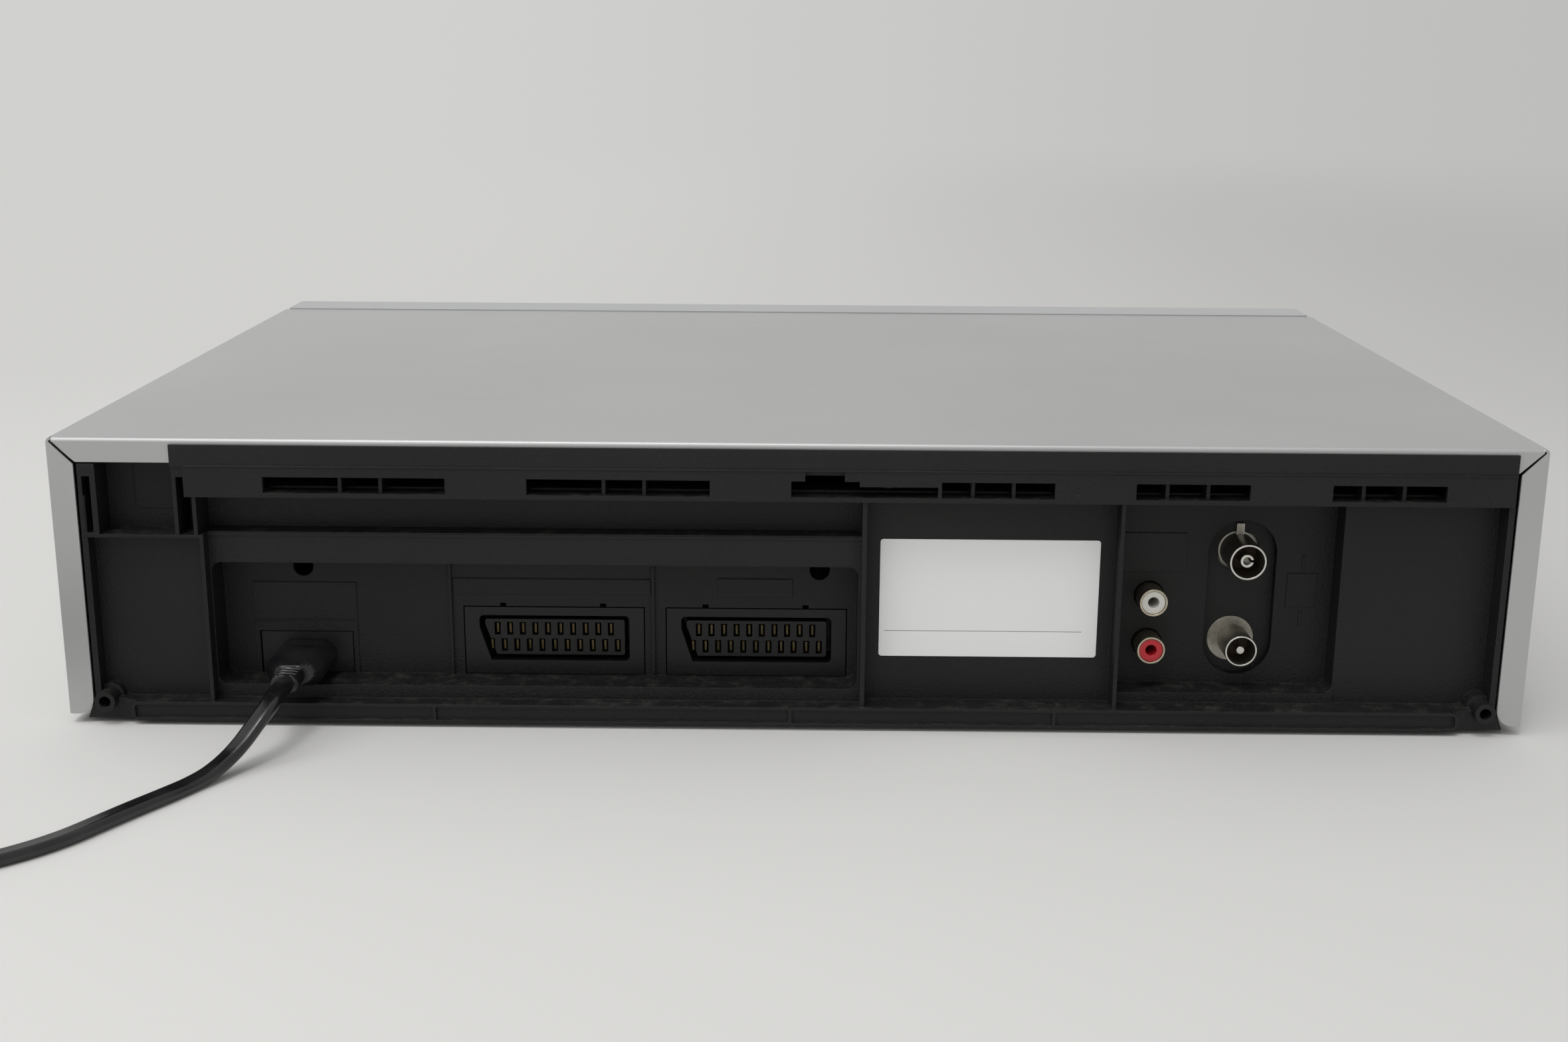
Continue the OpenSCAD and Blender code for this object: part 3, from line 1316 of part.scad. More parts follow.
module guide_post(s) {
    x = deck_x + s * track_x;
    color([0.8, 0.8, 0.78]) {
        // slant base with its stub in the track
        translate([0, 0, deck_top + 0.15]) linear_extrude(3.5)
            rounded(x - 5, x + 5, track_y0 - 8, track_y0 + 5, 2);
        post(x, track_y0, deck_z - 1.5, deck_top + 0.3, 2.9);
        post(x, track_y0, deck_z - 2.7, deck_z - 0.3, 4.5);
        // upright roller between two flanges, and the slanted pin beside it
        post(x, track_y0, deck_top + 3.5, deck_top + 27, 1.5);
        post(x, track_y0, deck_top + 6, deck_top + 7, 4);
        post(x, track_y0, deck_top + 6.9, deck_top + 21, 2.8);
        post(x, track_y0, deck_top + 20.9, deck_top + 22, 4);
        translate([x - s * 1.5, track_y0 - 6, deck_top + 3]) rotate([0, s * 12, 0])
            cylinder(r = 1, h = 19);
    }
}
module supply_guide_post() { guide_post(-1); }
module takeup_guide_post() { guide_post(1); }

module tape_heads() {
    color([0.75, 0.76, 0.78]) {
        // full-width erase head on the supply side
        translate([deck_x - 64, drum_y - 16, deck_top + 0.1]) rotate(30) {
            translate([-6, -5, 0]) cube([12, 10, 5]);
            difference() {
                translate([-4.5, -4, 4.9]) cube([9, 9, 15]);
                translate([-0.5, 4.4, 6]) cube([1, 2, 13]);
            }
        }
        // sound and control head on its adjusting plate
        translate([deck_x + 58, drum_y + 10, deck_top + 0.1]) rotate(-25) {
            translate([-8, -6, 0]) cube([16, 14, 4]);
            translate([0, 0, 3.9]) cylinder(r = 2.5, h = 4);
            translate([-7, -5, 7.8]) cube([14, 12, 1.4]);
            translate([-5, -4, 9.1]) cube([10, 9, 13]);
        }
    }
}

// ---- mains lead ----
// route of the free stretch, from the connector to where the coil begins
lead_end_y = rear_y + 12;
lead_route = [[147.2, 151.5, 17.1], [147.2, 156, 17.1], [147.8, 161, 16.2], [149.3, 166, 13.8],
    [151.6, 170, 10.6], [154, 174, 7.4], [156.8, 178.5, 4.6], [160, 184, 2.6],
    [163.5, 190, 1.8], [168, 198, 1.8], [173.5, 207, 1.8], [179, 216.5, 1.8],
    [184, 225, 1.8], [190.5, 233, 1.8], [199, 240.5, 1.8], [208.5, 247, 1.8],
    [218.5, 252.8, 1.8], [228, 257.8, 1.8], [234, 260.7, 1.8], [240, 263.5, 1.8]];
coil_r = 43.4;      // outermost turn, at the middle of the lead
coil_step = 6.8;    // from turn to turn
coil_rise = 4.2;   // from layer to layer
coil_z = 1.8;
coil_from = 115;    // direction, from the coil's centre, where the lead comes in
coil_turn = 2275;   // whole angle wound, clockwise
coil_half = (coil_turn - 180) / 2;
coil_in_r = coil_r - coil_step * coil_half / 360;
coil_faces = 24;    // steps in a turn

coil_way_in = [sin(coil_from), -cos(coil_from), 0];
coil_c = lead_route[len(lead_route) - 1] + cord_w * coil_way_in
    - coil_r * [cos(coil_from), sin(coil_from), 0];

function coil_radius(t) =
    t < coil_half ? coil_r - coil_step * t / 360 :
    t < coil_half + 180 ? coil_in_r - coil_step / (2 * PI) * sin(t - coil_half) :
    coil_in_r + coil_step * (t - coil_half - 180) / 360;
function coil_height(t) = coil_z + coil_rise *
    (t < coil_half ? 0 : t < coil_half + 180 ? (1 - cos(t - coil_half)) / 2 : 1);
function coil_point(t) = [coil_c[0] + coil_radius(t) * cos(coil_from - t),
    coil_c[1] + coil_radius(t) * sin(coil_from - t), coil_height(t)];
coil_steps = floor(coil_turn / (360 / coil_faces));
coil_end = coil_point(coil_turn);
coil_route = concat([lead_route[len(lead_route) - 1]],
    [for (k = [0:coil_steps]) coil_point(k * coil_turn / coil_steps)],
    [coil_end + [0, -8, 0], coil_end + [0, -18, 0], coil_end + [0, -28, 0.5],
     coil_end + [0, -38, 1], coil_end + [0, -44, 1]]);
plug_at = coil_route[len(coil_route) - 1];

function unit(v) = v / norm(v);
function tangent(p, k) = unit(k == 0 ? p[1] - p[0] :
    k == len(p) - 1 ? p[k] - p[k - 1] : unit(p[k + 1] - p[k]) + unit(p[k] - p[k - 1]));
// one ring of the flat lead's oval outline, square to the route
function ring(c, t, n) = let (side = unit(cross(t, [0, 0, 1])), up = cross(side, t))
    [for (k = [0:n - 1]) c + cord_w / 2 * cos(360 * (k + 0.5) / n) * side
        + cord_t / 2 * sin(360 * (k + 0.5) / n) * up];

module flat_lead(route, n) {
    count = len(route);
    points = [for (k = [0:count - 1]) each ring(route[k], tangent(route, k), n)];
    sides = [for (k = [0:count - 2], j = [0:n - 1]) let (a = k * n + j,
        b = k * n + (j + 1) % n) each [[a, b, b + n], [a, b + n, a + n]]];
    caps = [[for (j = [n - 1:-1:0]) j], [for (j = [0:n - 1]) (count - 1) * n + j]];
    polyhedron(points, concat(sides, caps));
}

// least gap between two turns, on the route's points: distance less both half sections
function half_section(d) = norm([norm([d[0], d[1]]) * cord_w / 2, d[2] * cord_t / 2])
    / norm(d);
coil_gaps = [for (i = [0:3:coil_steps], j = [i + coil_faces / 2:coil_steps])
    let (d = coil_route[j + 1] - coil_route[i + 1]) norm(d) - 2 * half_section(d)];
echo(coil_gap = min(coil_gaps));

module lead_connector() {
    y0 = face_y - 9;
    color([0.06, 0.06, 0.07]) difference() {
        union() {
            translate([inlet_x, 0, inlet_z]) xz(y0, face_y + 0.4)
                figure_eight(nose_r, nose_half);
            // grip, then the moulded strain relief
            translate([inlet_x, 0, inlet_z]) xz(face_y + 0.3, face_y + 15)
                figure_eight(nose_r + 0.7, nose_half);
            hull() {
                translate([inlet_x, 0, inlet_z]) xz(face_y + 14.9, face_y + 15)
                    figure_eight(nose_r + 0.7, nose_half);
                translate([inlet_x, 0, inlet_z]) xz(lead_end_y - 8.1, lead_end_y - 8)
                    figure_eight(3, 2);
            }
            translate([inlet_x, 0, inlet_z]) xz(lead_end_y - 8.1, lead_end_y)
                figure_eight(2.6, 1.4);
        }
        for (s = [-1, 1]) bar_y(inlet_x + s * blade_step / 2, inlet_z, y0 - 1, face_y + 2,
            1.35);
        for (k = [0:2]) translate([inlet_x, lead_end_y - 6.6 + 2.2 * k, inlet_z])
            for (s = [-1, 1]) translate([-5, -0.5, s * 2.6 - 0.5]) cube([10, 1, 1]);
    }
}

module cord_lead() {
    color([0.05, 0.05, 0.06]) flat_lead(lead_route, 8);
}

module cord_coil() {
    color([0.05, 0.05, 0.06]) flat_lead(coil_route, 6);
}

// flat two-pin plug, lying on its side
module mains_plug() {
    l = 35;
    translate([plug_at[0], plug_at[1], 0]) {
        color([0.06, 0.06, 0.07]) difference() {
            union() {
                translate([0, -6, plug_at[2]]) rotate([90, 0, 0]) cylinder(r = 3.4, h = 8);
                translate([0, 0, 0.1]) linear_extrude(13.6)
                    polygon([[-4.5, -12], [4.5, -12], [12.5, -l + 6], [12.5, -l],
                        [-12.5, -l], [-12.5, -l + 6]]);
            }
            translate([0, 0, 0.1 + 13.6]) rotate([90, 0, 0])
                translate([0, 0, 16]) cylinder(r = 0.7, h = 12);
        }
        color([0.06, 0.06, 0.07]) translate([0, -6, plug_at[2]]) rotate([-90, 0, 0])
            cylinder(r = 3.2, h = 6);
        color(steel) for (s = [-1, 1])
            translate([s * 9.1, -l + 0.1, 6.9]) rotate([90, 0, 0]) {
                cylinder(r = 1.9, h = 10);
                cylinder(r = 2, h = 17);
                translate([0, 0, 17]) sphere(r = 2, $fn = 24);
            }
    }
}

chassis_frame();
rear_wall();
rear_bosses();
foot_pads();
top_cover();
cover_screws();
front_panel();
cassette_flap();
display_window();
display_module();
front_board();
front_jacks();
jack_door();
power_button();
eject_button();
rewind_button();
play_button();
forward_button();
stop_button();
record_button();
channel_up_button();
channel_down_button();
rating_plate();
ac_inlet();
av_sockets();
av_contacts();
audio_socket_body();
audio_socket_shells();
audio_ring_left();
audio_ring_right();
tuner_box();
aerial_in();
aerial_out();
main_board();
inner_screws();
mains_transformer();
main_capacitor();
heat_sink();
transport_plate();
carriage_side_plates();
carriage_sliders();
cassette_carriage();
lower_drum();
upper_drum();
supply_reel_table();
takeup_reel_table();
idler_arm();
idler_wheel();
capstan();
centre_pulley();
drive_belt();
pinch_arm();
pinch_roller();
supply_guide_post();
takeup_guide_post();
tape_heads();
lead_connector();
cord_lead();
cord_coil();
mains_plug();
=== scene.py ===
"""A video cassette recorder seen from its jack field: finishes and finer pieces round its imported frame."""

import json
import math

import bpy
from mathutils import Matrix, Vector

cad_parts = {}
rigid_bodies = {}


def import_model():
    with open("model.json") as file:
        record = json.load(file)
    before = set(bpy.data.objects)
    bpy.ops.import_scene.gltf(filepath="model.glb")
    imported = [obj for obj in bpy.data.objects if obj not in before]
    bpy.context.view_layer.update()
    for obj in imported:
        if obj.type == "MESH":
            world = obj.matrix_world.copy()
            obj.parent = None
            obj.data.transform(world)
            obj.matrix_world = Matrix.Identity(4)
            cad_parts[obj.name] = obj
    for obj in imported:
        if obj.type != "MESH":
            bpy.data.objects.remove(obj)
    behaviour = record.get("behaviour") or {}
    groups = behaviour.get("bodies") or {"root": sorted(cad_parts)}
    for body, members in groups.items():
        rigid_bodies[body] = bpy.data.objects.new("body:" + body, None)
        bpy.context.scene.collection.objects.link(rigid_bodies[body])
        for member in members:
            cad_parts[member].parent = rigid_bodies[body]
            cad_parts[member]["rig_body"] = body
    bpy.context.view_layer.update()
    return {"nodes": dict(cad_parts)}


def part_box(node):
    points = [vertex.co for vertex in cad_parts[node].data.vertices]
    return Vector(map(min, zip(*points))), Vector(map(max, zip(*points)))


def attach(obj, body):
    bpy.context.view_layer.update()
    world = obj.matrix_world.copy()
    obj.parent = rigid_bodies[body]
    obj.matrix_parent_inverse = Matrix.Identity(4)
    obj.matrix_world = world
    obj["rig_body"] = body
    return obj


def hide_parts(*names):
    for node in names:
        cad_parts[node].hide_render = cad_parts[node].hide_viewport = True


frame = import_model()
mm = 0.001

# ---- Camera ----
# It stands behind the recorder, a little above it, and looks down at the jack field.
camera_place = (-0.81 * mm, 667.73 * mm, 200.67 * mm)
camera_yaw, camera_pitch, camera_roll = 0.007487, 0.253224, 0.006472
lens_mm, sensor_mm = 43.42, 36

ahead = Vector((math.sin(camera_yaw) * math.cos(camera_pitch),
                -math.cos(camera_yaw) * math.cos(camera_pitch), -math.sin(camera_pitch)))
level_right = Vector((-math.cos(camera_yaw), -math.sin(camera_yaw), 0))
level_up = level_right.cross(ahead)
right = level_right * math.cos(camera_roll) + level_up * math.sin(camera_roll)
up = level_up * math.cos(camera_roll) - level_right * math.sin(camera_roll)
camera_data = bpy.data.cameras.new("camera")
camera_data.lens, camera_data.sensor_width = lens_mm, sensor_mm
camera_data.clip_start, camera_data.clip_end = 0.01, 100
camera = bpy.data.objects.new("camera", camera_data)
bpy.context.scene.collection.objects.link(camera)
camera.matrix_world = Matrix.Translation(camera_place) @ Matrix((
    (right.x, up.x, -ahead.x), (right.y, up.y, -ahead.y), (right.z, up.z, -ahead.z))).to_4x4()
bpy.context.scene.camera = camera
bpy.context.scene.view_settings.view_transform = "Standard"


# ---- Floor, backdrop and light ----
# A sweep of pale paper under soft studio light: a wide light high on the left, a smaller harder one
# overhead that draws bright lines along the folds, and a bright room. Painted shade darkens the
# paper towards -X and towards -Y. Far off, the paper glows in the room's own tone, darker towards -X:
# a painted glow, so that no edge of it shows.
paper = (0.64, 0.635, 0.62)
room_light = (0.62, 0.62, 0.62)
room_seen = (0.64, 0.64, 0.625)
room_fade = (-0.45, 0.29)       # from the dim side of the room to the bright one
floor_half, paper_near, paper_far = 30.0, 0.9, 3.0
room_middle = (0, 0.7, 0)       # the room's two sides are told apart from about here
# where the shade painted on the paper begins and ends, in metres, and its strength at both
painted_shade_across, painted_shade_along = (-0.75, 0.35, 0.73, 1.01), (-0.6, 0.35, 0.92, 1.10)
painted_shade_most = 1.2
# light: its strength, its spread in degrees and where it stands
lights = {"key": (1.15, 60, (0.5, 0.45, 1.0)), "overhead": (0.5, 14, (0.12, 0.36, 0.95))}


class Shade:
    """An output of a finish's nodes; sums, products and differences of shades add Math nodes."""

    def __init__(self, output):
        self.output = output

    def node(self, kind, settings=None, inputs=None, out=0):
        """Any other node: its settings first, then the values or links of its sockets."""
        made = self.output.id_data.nodes.new(kind)
        for name, value in (settings or {}).items():
            setattr(made, name, value)
        join(made, inputs or {})
        return Shade(made.outputs[out])

    def maths(self, operation, a, b):
        return self.node("ShaderNodeMath", {"operation": operation}, {0: a, 1: b})

    def __add__(self, other):
        return self.maths("ADD", self, other)

    def __mul__(self, other):
        return self.maths("MULTIPLY", self, other)

    def __sub__(self, other):
        return self.maths("SUBTRACT", self, other)

    def __rsub__(self, other):
        return self.maths("SUBTRACT", other, self)

    __radd__, __rmul__ = __add__, __mul__

    def vector(self, operation, other, out="Vector"):
        return self.node("ShaderNodeVectorMath", {"operation": operation}, {0: self, 1: other}, out)

    def axis(self, name):
        return self.node("ShaderNodeSeparateXYZ", {}, {0: self}, name)

    def span(self, low, high, start=0.0, end=1.0):
        """This value between low and high, spread smoothly from start to end."""
        return self.node("ShaderNodeMapRange", {"interpolation_type": "SMOOTHSTEP"},
                         {"Value": self, "From Min": low, "From Max": high,
                          "To Min": start, "To Max": end}, "Result")

    def tint(self, low, high):
        """Two colours mixed by this value."""
        return self.node("ShaderNodeMix", {"data_type": "RGBA"}, {0: self, 6: low, 7: high}, 2)

    def noise(self, scale, detail=2.0, rough=0.5):
        return self.node("ShaderNodeTexNoise", {},
                         {"Vector": self, "Scale": scale, "Detail": detail, "Roughness": rough}, "Fac")

    def relief(self, height, distance, strength=1.0):
        """A normal raised by a height over this place; distance is in metres."""
        return self.node("ShaderNodeBump", {},
                         {"Strength": strength, "Distance": distance, "Height": height}, "Normal")


def join(node, inputs):
    """Sets or links a node's sockets by name or number."""
    for name, value in inputs.items():
        socket = node.inputs[name]
        if isinstance(value, Shade):
            node.id_data.links.new(value.output, socket)
        elif socket.type == "RGBA" and len(value) == 3:
            socket.default_value = (*value, 1)
        else:
            socket.default_value = value


def start_finish(name, **constants):
    """A new material, its shader with those constants set, and the place on the piece as a shade."""
    made = bpy.data.materials.new(name)
    made.use_nodes = True
    shader = made.node_tree.nodes["Principled BSDF"]
    join(shader, {key.replace("_", " "): value for key, value in constants.items()})
    place = Shade(made.node_tree.nodes.new("ShaderNodeTexCoord").outputs["Object"])
    return made, shader, place


def alone(piece):
    """Selects one piece only and makes it the active one."""
    bpy.ops.object.select_all(action="DESELECT")
    piece.select_set(True)
    bpy.context.view_layer.objects.active = piece


bpy.ops.object.select_all(action="DESELECT")
bpy.ops.mesh.primitive_plane_add(size=2 * floor_half, location=(0, 0, 0))
floor = bpy.context.active_object
floor.name = "paper_floor"
paper_finish, shader, place = start_finish("paper", Roughness=0.9, Specular_IOR_Level=0.15)
# painted shade: the paper's colour is made darker towards -X and towards -Y, standing for light that falls
# off
painted_paper_shade = place.axis("X").span(*painted_shade_across) * place.axis("Y").span(*painted_shade_along)
tone = (painted_paper_shade * (1 / painted_shade_most)).tint((0, 0, 0), tuple(painted_shade_most * c for c in paper))
lint = place.node("ShaderNodeTexVoronoi", {}, {"Vector": place, "Scale": 55.0}, "Distance")
lint = lint.span(0.015, 0.03, 1.0, 0.0) * place.noise(7, 2).span(0.55, 0.62)
join(shader, {"Base Color": (lint * 0.3).tint(tone, (0.45, 0.43, 0.4)),
              "Normal": place.relief(place.noise(420, 4), 0.05 * mm, 0.4)})
room_dim = tuple(0.80 * c for c in room_seen)
# painted glow: far off, the paper emits the room's tone, darker towards -X, in place of lit paper
side = place.vector("SUBTRACT", room_middle).vector("NORMALIZE", (0, 0, 0)).axis("X")
glow = place.node("ShaderNodeEmission", {}, {
    "Color": side.span(*room_fade).tint(room_dim, room_seen), "Strength": 1.0}, "Emission")
away = place.vector("LENGTH", (0, 0, 0), "Value").span(paper_near, paper_far)
lit_paper = Shade(shader.outputs["BSDF"])
mixed = away.node("ShaderNodeMixShader", {}, {0: away, 1: lit_paper, 2: glow}, "Shader")
join(paper_finish.node_tree.nodes["Material Output"], {"Surface": mixed})
floor.data.materials.append(paper_finish)

world = bpy.data.worlds.new("room")
world.use_nodes = True
bpy.context.scene.world = world
ray = Shade(world.node_tree.nodes.new("ShaderNodeLightPath").outputs["Is Camera Ray"])
glossy = Shade(ray.output.node.outputs["Is Glossy Ray"])
through = Shade(ray.output.node.outputs["Is Transmission Ray"])
seen = ray + glossy + through
toward = Shade(world.node_tree.nodes.new("ShaderNodeTexCoord").outputs["Generated"]).axis("X")
join(world.node_tree.nodes["Background"], {"Color": seen.span(0.0, 1.0).tint(
    room_light, toward.span(*room_fade).tint(room_dim, room_seen)), "Strength": 1.0})

for name, (strength, spread, stands) in lights.items():
    light = bpy.data.objects.new(name, bpy.data.lights.new(name, "SUN"))
    light.data.energy, light.data.angle = strength, math.radians(spread)
    light.rotation_mode = "QUATERNION"
    light.rotation_quaternion = Vector(stands).to_track_quat("Z", "Y")
    bpy.context.scene.collection.objects.link(light)


# ---- Mains lead ----
# A flat two-core lead of black vinyl. It falls from the connector to the floor, runs off to the
# left and is wound, past the edge of the view, into a coil of two layers that ends in its plug. A
# strap of hook-and-loop cloth holds the coil together.
lead_w, lead_t = 6.0 * mm, 3.4 * mm
lead_core = lead_t / 2          # radius of each core's round side
lead_groove = 0.35 * mm         # depth of the groove between the cores
lead_route = [
    (147.2, 151.5, 17.1), (147.2, 156, 17.1), (147.8, 161, 16.2), (149.3, 166, 13.8),
    (151.6, 170, 10.6), (154, 174, 7.4), (156.8, 178.5, 4.6), (160, 184, 2.6),
    (163.5, 190, 1.8), (168, 198, 1.8), (173.5, 207, 1.8), (179, 216.5, 1.8),
    (184, 225, 1.8), (190.5, 233, 1.8), (199, 240.5, 1.8), (208.5, 247, 1.8),
    (218.5, 252.8, 1.8), (228, 257.8, 1.8), (234, 260.7, 1.8), (240, 263.5, 1.8)]
coil_r, coil_step, coil_rise, coil_z = 43.4, 6.8, 4.2, 1.8
coil_from, coil_turn, coil_steps = 115, 2275, 228
coil_half = (coil_turn - 180) / 2
coil_in_r = coil_r - coil_step * coil_half / 360


def coil_point(angle):
    """A point of the coil: spiral in, climb half a turn, spiral out on the first layer."""
    if angle < coil_half:
        radius, climb = coil_r - coil_step * angle / 360, 0
    elif angle < coil_half + 180:
        part = math.radians(angle - coil_half)
        radius = coil_in_r - coil_step / (2 * math.pi) * math.sin(part)
        climb = (1 - math.cos(part)) / 2
    else:
        radius, climb = coil_in_r + coil_step * (angle - coil_half - 180) / 360, 1
    way = math.radians(coil_from - angle)
    return coil_centre + Vector((radius * math.cos(way), radius * math.sin(way),
                                 coil_z + coil_rise * climb))


entry = math.radians(coil_from)
coil_start = Vector(lead_route[-1]) + 6 * Vector((math.sin(entry), -math.cos(entry), 0))
coil_centre = coil_start - coil_r * Vector((math.cos(entry), math.sin(entry), 0))
coil_centre.z = 0
coil_end = coil_point(coil_turn)
lead_tail = [coil_end + Vector(step) for step in
             ((0, -8, 0), (0, -18, 0), (0, -28, 0.5), (0, -38, 1), (0, -44, 1))]


def smooth_run(points, cuts):
    """Points on a smooth curve through the given ones, with cuts steps between each two."""
    points = [Vector(p) for p in points]
    run = []
    for k in range(len(points) - 1):
        a, b = points[max(k - 1, 0)], points[k]
        c, d = points[k + 1], points[min(k + 2, len(points) - 1)]
        for j in range(cuts):
            t = j / cuts
            run.append(0.5 * (2 * b + (c - a) * t + (2 * a - 5 * b + 4 * c - d) * t * t
                              + (3 * b - a - 3 * c + d) * t * t * t))
    return run + [points[-1]]


coil_points = [coil_point(k * coil_turn / coil_steps) for k in range(coil_steps + 1)]
lead_path = [p * mm for p in smooth_run(lead_route, 4) + coil_points[1:]
             + smooth_run([coil_points[-1]] + lead_tail, 3)[1:]]


def lead_outline():
    """The flat lead's section: two round cores with a shallow groove between them."""
    across, arc = lead_w / 2 - lead_core, 7
    side = [(across + lead_core * math.cos(a), lead_core * math.sin(a)) for a in
            (math.radians(-90 + 180 * k / arc) for k in range(arc + 1))]
    return (side + [(0, lead_core - lead_groove)]
            + [(-x, -z) for x, z in side] + [(0, lead_groove - lead_core)])


def sweep(name, path, outline):
    """A closed tube of that outline along the path, its width level with the floor."""
    verts, faces, n = [], [], len(outline)
    for k, point in enumerate(path):
        along = (path[min(k + 1, len(path) - 1)] - path[max(k - 1, 0)]).normalized()
        side = along.cross(Vector((0, 0, 1))).normalized()
        over = side.cross(along)
        verts += [point + side * x + over * z for x, z in outline]
    for k in range(len(path) - 1):
        for j in range(n):
            a, b = k * n + j, k * n + (j + 1) % n
            faces.append((a, b, b + n, a + n))
    faces += [tuple(reversed(range(n))), tuple((len(path) - 1) * n + j for j in range(n))]
    mesh = bpy.data.meshes.new(name)
    mesh.from_pydata(verts, [], faces)
    made = bpy.data.objects.new(name, mesh)
    bpy.context.scene.collection.objects.link(made)
    alone(made)
    bpy.ops.object.mode_set(mode="EDIT")
    bpy.ops.mesh.select_all(action="SELECT")
    bpy.ops.mesh.normals_make_consistent(inside=False)
    bpy.ops.object.mode_set(mode="OBJECT")
    bpy.ops.object.shade_smooth_by_angle(angle=math.radians(50))
    return made


vinyl, shader, place = start_finish("black_vinyl", Specular_IOR_Level=0.6)
smudge = place.noise(90, 3).span(0.35, 0.75)
join(shader, {"Base Color": smudge.tint((0.006, 0.006, 0.007), (0.013, 0.013, 0.013)),
              "Roughness": smudge * 0.14 + 0.15,
              "Normal": place.relief(place.noise(700, 2), 0.04 * mm, 0.5)})


def pick(piece, test):
    """Selects those faces of a piece that pass the test, and nothing else."""
    alone(piece)
    bpy.ops.object.mode_set(mode="EDIT")
    bpy.ops.mesh.select_mode(type="FACE")
    bpy.ops.mesh.select_all(action="DESELECT")
    bpy.ops.object.mode_set(mode="OBJECT")
    for face in piece.data.polygons:
        face.select = test(face)


def finished(nodes, material, bevel=0.12, name=None, joint=None, shaped=None):
    """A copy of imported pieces, their corners merged and their edges slightly rounded, stands for them.

    joint(centre, normal) is true for a face inside one moulding, where its solids meet; the
    outlines that are left there are joined across the thin gap. shaped(piece) gives the merged
    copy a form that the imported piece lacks."""
    nodes = [nodes] if isinstance(nodes, str) else nodes
    copies = []
    for node in nodes:
        made = bpy.data.objects.new((name or node) + "_body", frame["nodes"][node].data.copy())
        bpy.context.scene.collection.objects.link(made)
        copies.append(made)
    alone(copies[0])
    for made in copies:
        made.select_set(True)
    if len(copies) > 1:
        bpy.ops.object.join()
    made = bpy.context.active_object
    alone(made)
    if joint:
        pick(made, lambda face: joint(face.center / mm, face.normal))
        bpy.ops.object.mode_set(mode="EDIT")
        bpy.ops.mesh.delete(type="FACE")
        bpy.ops.mesh.select_mode(type="VERT")
        bpy.ops.mesh.select_all(action="SELECT")
        bpy.ops.mesh.remove_doubles(threshold=0.002 * mm)
        bpy.ops.mesh.select_all(action="DESELECT")
        bpy.ops.mesh.select_non_manifold(use_wire=False, use_multi_face=False,
                                         use_non_contiguous=False, use_verts=False)
        bpy.ops.mesh.remove_doubles(threshold=0.03 * mm)
        bpy.ops.mesh.select_mode(type="FACE")
        bpy.ops.object.mode_set(mode="OBJECT")
    bpy.ops.object.mode_set(mode="EDIT")
    bpy.ops.mesh.select_all(action="SELECT")
    bpy.ops.mesh.remove_doubles(threshold=0.002 * mm)
    bpy.ops.object.mode_set(mode="OBJECT")
    if shaped:
        shaped(made)
    if bevel:
        edge = made.modifiers.new("edges", "BEVEL")
        edge.width, edge.segments, edge.limit_method = bevel * mm, 2, "ANGLE"
        edge.angle_limit = math.radians(35)
        edge.use_clamp_overlap = edge.loop_slide = False
        bpy.ops.object.modifier_apply(modifier=edge.name)
    bpy.ops.object.shade_smooth_by_angle(angle=math.radians(48))
    flat = made.modifiers.new("flat", "WEIGHTED_NORMAL")
    flat.keep_sharp, flat.weight = True, 90
    bpy.ops.object.modifier_apply(modifier=flat.name)
    made.data.materials.clear()
    made.data.materials.append(material)
    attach(made, frame["nodes"][nodes[0]]["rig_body"])
    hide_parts(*nodes)
    return made


def repaint(piece, material, where):
    """The faces of a piece whose centres, in millimetres, pass the test get a further finish."""
    piece.data.materials.append(material)
    for face in piece.data.polygons:
        if where(face.center / mm):
            face.material_index = len(piece.data.materials) - 1


def block(name, centre, size, turn=0.0):
    """A box of that size in metres, turned about the upright axis."""
    bpy.ops.object.select_all(action="DESELECT")
    bpy.ops.mesh.primitive_cube_add(size=1, location=centre, rotation=(0, 0, turn))
    made = bpy.context.active_object
    made.name, made.scale = name, size
    bpy.ops.object.transform_apply(location=True, rotation=True, scale=True)
    return made


lead = sweep("mains_lead", lead_path, lead_outline())
lead.data.materials.append(vinyl)
connector = finished("lead_connector", vinyl, 0)
plug = finished("mains_plug", vinyl, 0.1)

pin_plate, shader, place = start_finish("pin_plate", Metallic=1.0)
rub = place.vector("MULTIPLY", (900, 60, 900)).noise(1.0, 3)
join(shader, {"Base Color": rub.tint((0.42, 0.40, 0.36), (0.60, 0.58, 0.53)),
              "Roughness": rub * 0.2 + 0.22})
plug_body_l = 45.0              # from the lead's end to where the bare pins start
pins_start = lead_path[-1].y / mm - plug_body_l
repaint(plug, pin_plate, lambda c: c.y < pins_start)

tie_angle = math.radians(200)    # the side of the coil that it is on
tie_w, tie_h, tie_z, tie_play = 6.0, 7.4, 4.05, 0.6
tie_corner, tie_thick = 1.6, 0.3
tie_out = Vector((math.cos(tie_angle), math.sin(tie_angle), 0))
tie_centre = (coil_centre + tie_out * (coil_in_r + coil_r) / 2) * mm
tie_centre.z = tie_z * mm
tie_span = coil_r - coil_in_r + lead_w / mm + tie_play
tie = block("lead_tie", tie_centre, (tie_span * mm, tie_w * mm, tie_h * mm), tie_angle)
pick(tie, lambda face: abs(face.normal.dot(Vector((-tie_out.y, tie_out.x, 0)))) > 0.9)
bpy.ops.object.mode_set(mode="EDIT")
bpy.ops.mesh.delete(type="FACE")
bpy.ops.mesh.select_all(action="SELECT")
bpy.ops.mesh.bevel(offset=tie_corner * mm, segments=4, affect="EDGES")
bpy.ops.mesh.normals_make_consistent(inside=False)
bpy.ops.object.mode_set(mode="OBJECT")
strap = tie.modifiers.new("strap", "SOLIDIFY")
